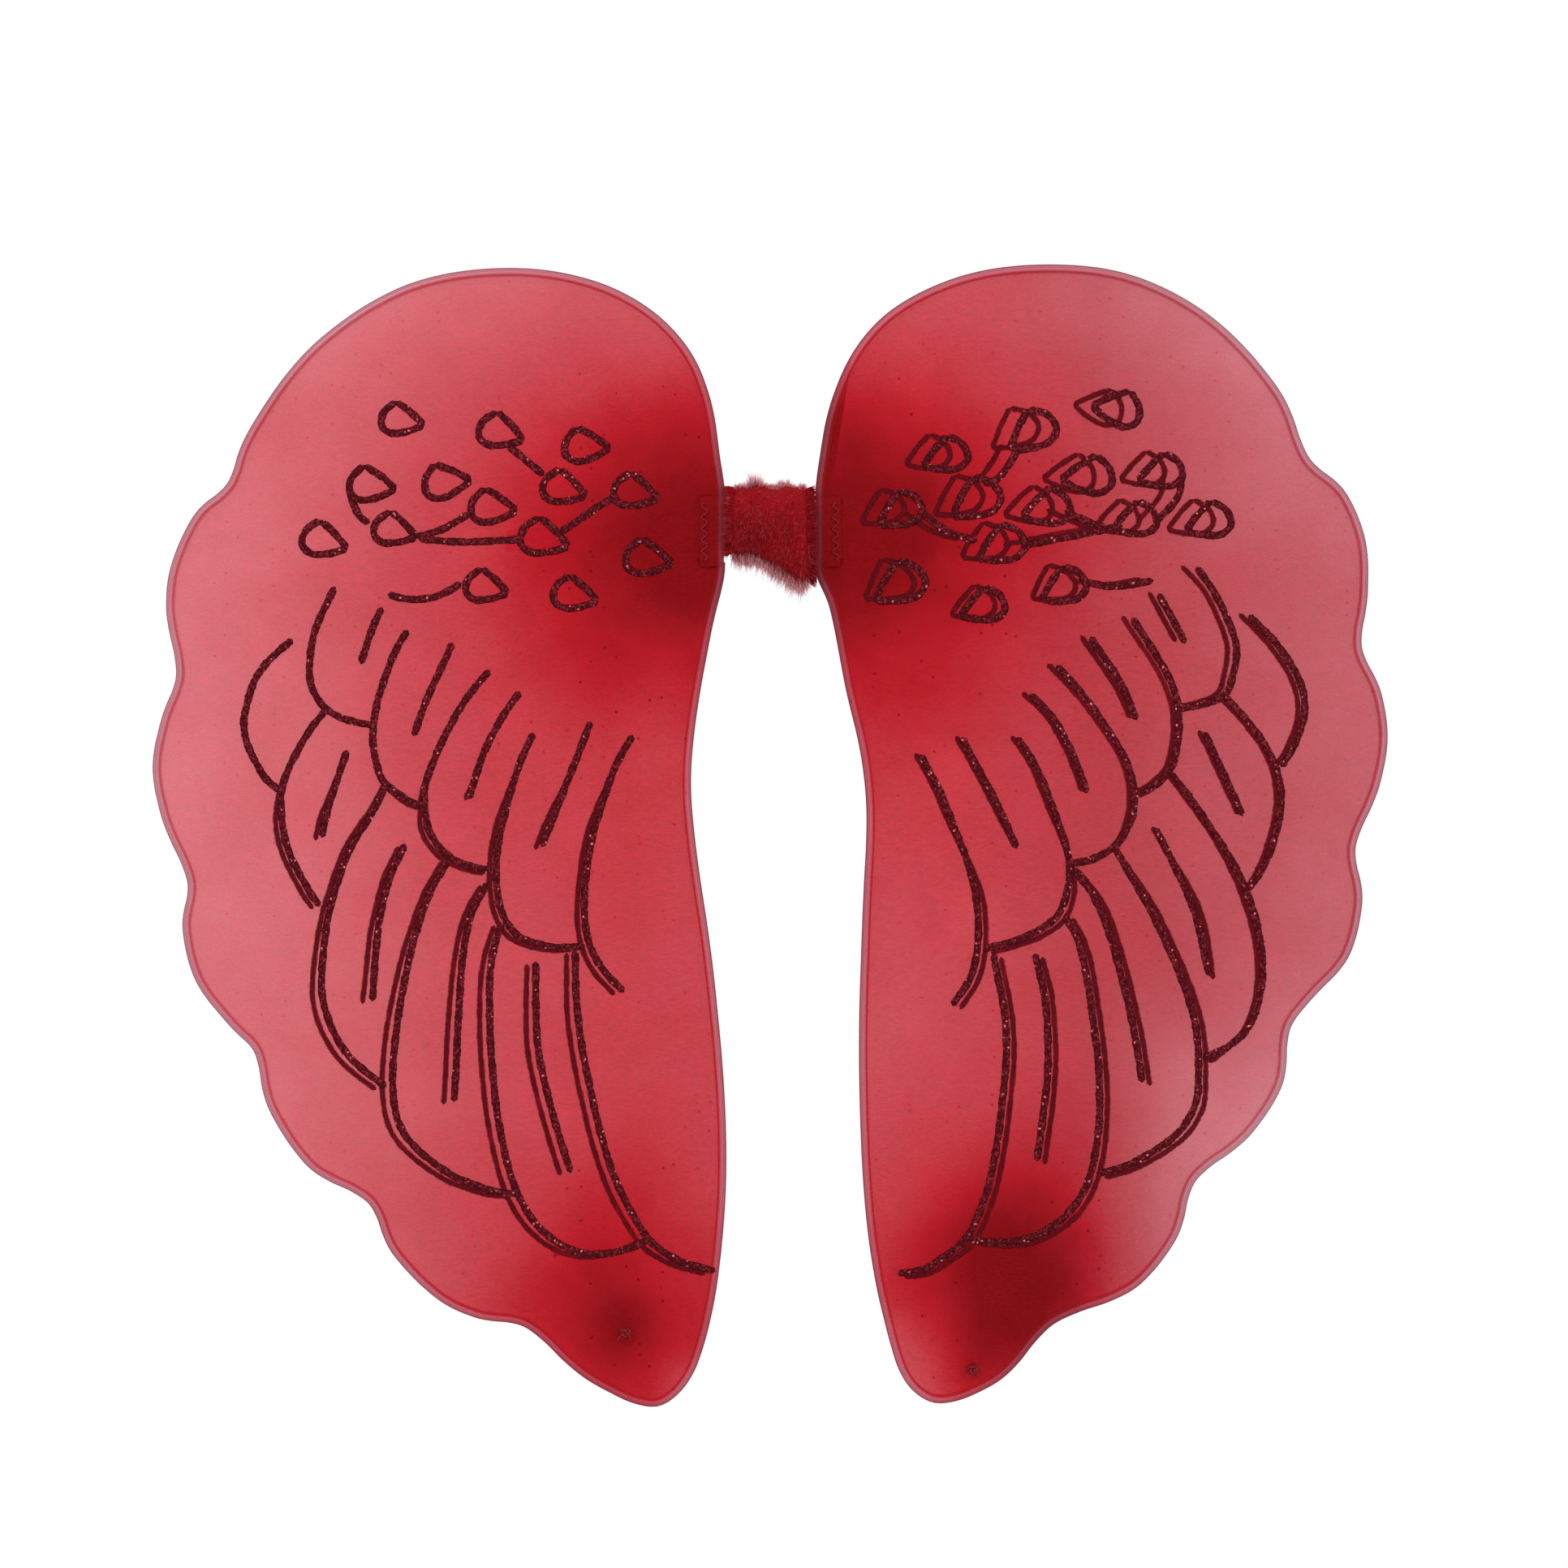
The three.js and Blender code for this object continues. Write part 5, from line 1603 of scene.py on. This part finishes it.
def stage():
    """A wide pale floor, soft lights, a bright plain surround, and a camera in front."""
    scene = bpy.context.scene
    turn = round_turn(96)
    radius = np.array([0.25, 0.6, 0.896, 0.9])
    level = FLOOR_LEVEL - np.array([0, 0, 0, 0.002])
    x, y = radius * np.cos(turn)[:, None], radius * np.sin(turn)[:, None]
    part = disc(places(x, y, level), [0, 0, FLOOR_LEVEL], [0, 0, FLOOR_LEVEL - 0.01])
    floor = mesh_object("pale_floor", part, finish("studio_floor"))

    world = bpy.data.worlds.new("Plain surround")
    world.use_nodes = True
    tree = world.node_tree
    tree.nodes.clear()
    seen = node(tree, "ShaderNodeBackground", {"Color": (1, 1, 1, 1)}).outputs[0]
    light = {"Color": (1, 0.99, 0.985, 1), "Strength": 0.72}
    lit = node(tree, "ShaderNodeBackground", light).outputs[0]
    straight = node(tree, "ShaderNodeLightPath").outputs["Is Camera Ray"]
    mix = node(tree, "ShaderNodeMixShader", {0: straight, 1: lit, 2: seen}).outputs[0]
    node(tree, "ShaderNodeOutputWorld", {"Surface": mix})
    scene.world = world

    lights = [
        ("key_light", (-0.7, -1.3, 0.9), 9.0, 0.9),
        ("fill_light", (0.9, -1.1, 0.1), 4.5, 1.1),
        ("back_light", (0.1, 1.2, 0.7), 5.0, 0.9),
    ]
    for name, place, power, size in lights:
        data = bpy.data.lights.new(name, "AREA")
        data.energy = power
        data.size = size
        lamp = bpy.data.objects.new(name, data)
        lamp.location = place
        aim = Vector((0, 0, -0.12)) - Vector(place)
        lamp.rotation_euler = aim.to_track_quat("-Z", "Y").to_euler()
        scene.collection.objects.link(lamp)

    data = bpy.data.cameras.new("front_camera")
    data.sensor_width = 36
    distance, view_width = 1.79, 0.6326
    data.lens = data.sensor_width * distance / view_width
    data.clip_start = 0.05
    data.clip_end = 20
    camera = bpy.data.objects.new("front_camera", data)
    camera.location = (0.0056, WING_PLANE - distance, -0.1018)
    camera.rotation_euler = (math.pi / 2, 0, 0)
    scene.collection.objects.link(camera)
    scene.camera = camera
    scene.view_settings.view_transform = "Standard"


# --- Operators ------------------------------------------------------------------------------


class PieceOperator(bpy.types.Operator):
    """What every operator here shares: it can be undone, and it fails aloud."""

    bl_options = {"REGISTER", "UNDO"}


class FAIRYWINGS_OT_nets(PieceOperator):
    """Make both wings' stretched nets and the tucks that hide their eyes"""

    bl_idname = "fairy_wings.nets"
    bl_label = "Nets"

    def execute(self, context):
        for name in SIDES:
            sleeve(name)
            eye_cover(name)
        return {"FINISHED"}


class FAIRYWINGS_OT_wires(PieceOperator):
    """Make the wings' loops of wire, their ferrules and both bridge wires"""

    bl_idname = "fairy_wings.wires"
    bl_label = "Wires and ferrules"

    def execute(self, context):
        for name in SIDES:
            spring_wires(name)
            ferrule(name)
        for level in (1, -1):
            bridge_wire(level)
        return {"FINISHED"}


class FAIRYWINGS_OT_glitter(PieceOperator):
    """Make the glitter drawing and the marks that it soaked into the nets"""

    bl_idname = "fairy_wings.glitter"
    bl_label = "Glitter drawing"

    def execute(self, context):
        for name in SIDES:
            glitter(name)
        return {"FINISHED"}


class FAIRYWINGS_OT_thread(PieceOperator):
    """Make the mouth stitches and the toe knots"""

    bl_idname = "fairy_wings.thread"
    bl_label = "Stitches and knots"

    def execute(self, context):
        for name in SIDES:
            mouth_stitch(name)
            toe_knot(name)
        return {"FINISHED"}


class FAIRYWINGS_OT_bridge(PieceOperator):
    """Make the wound tape, the plume wrap and its fringe"""

    bl_idname = "fairy_wings.bridge"
    bl_label = "Tape and plumes"

    def execute(self, context):
        binding()
        wrap_body()
        fringe()
        for name in SIDES:
            end_tuft(name)
        return {"FINISHED"}


class FAIRYWINGS_OT_straps(PieceOperator):
    """Make the felt patch, the sewn ends and both arm straps"""

    bl_idname = "fairy_wings.straps"
    bl_label = "Patch and straps"

    def execute(self, context):
        patch()
        for name in SIDES:
            strap_tab(name)
            strap(name)
        return {"FINISHED"}


class FAIRYWINGS_OT_stage(PieceOperator):
    """Make the floor, the lights, the surround and the camera"""

    bl_idname = "fairy_wings.stage"
    bl_label = "Stage"

    def execute(self, context):
        stage()
        return {"FINISHED"}


OPERATORS = (
    FAIRYWINGS_OT_nets,
    FAIRYWINGS_OT_wires,
    FAIRYWINGS_OT_glitter,
    FAIRYWINGS_OT_thread,
    FAIRYWINGS_OT_bridge,
    FAIRYWINGS_OT_straps,
    FAIRYWINGS_OT_stage,
)


class FAIRYWINGS_PT_panel(bpy.types.Panel):
    """Sizes, colours and one button for each step"""

    bl_label = "Fairy Wings"
    bl_idname = "FAIRYWINGS_PT_panel"
    bl_space_type = "VIEW_3D"
    bl_region_type = "UI"
    bl_category = "Fairy Wings"

    def draw(self, context):
        layout = self.layout
        for settings in (context.scene.fairy_wing_sizes, context.scene.fairy_wing_colours):
            box = layout.box()
            for name in settings.__annotations__:
                box.prop(settings, name)
        for operator in OPERATORS:
            layout.operator(operator.bl_idname)


CLASSES = (FairyWingSizes, FairyWingColours) + OPERATORS + (FAIRYWINGS_PT_panel,)


def register():
    for cls in CLASSES:
        bpy.utils.register_class(cls)
    scene_type = bpy.types.Scene
    scene_type.fairy_wing_sizes = bpy.props.PointerProperty(type=FairyWingSizes)
    scene_type.fairy_wing_colours = bpy.props.PointerProperty(type=FairyWingColours)


def unregister():
    del bpy.types.Scene.fairy_wing_colours
    del bpy.types.Scene.fairy_wing_sizes
    for cls in reversed(CLASSES):
        bpy.utils.unregister_class(cls)


def main():
    register()
    for operator in OPERATORS:
        area, name = operator.bl_idname.split(".")
        getattr(getattr(bpy.ops, area), name)()


if __name__ == "__main__":
    main()
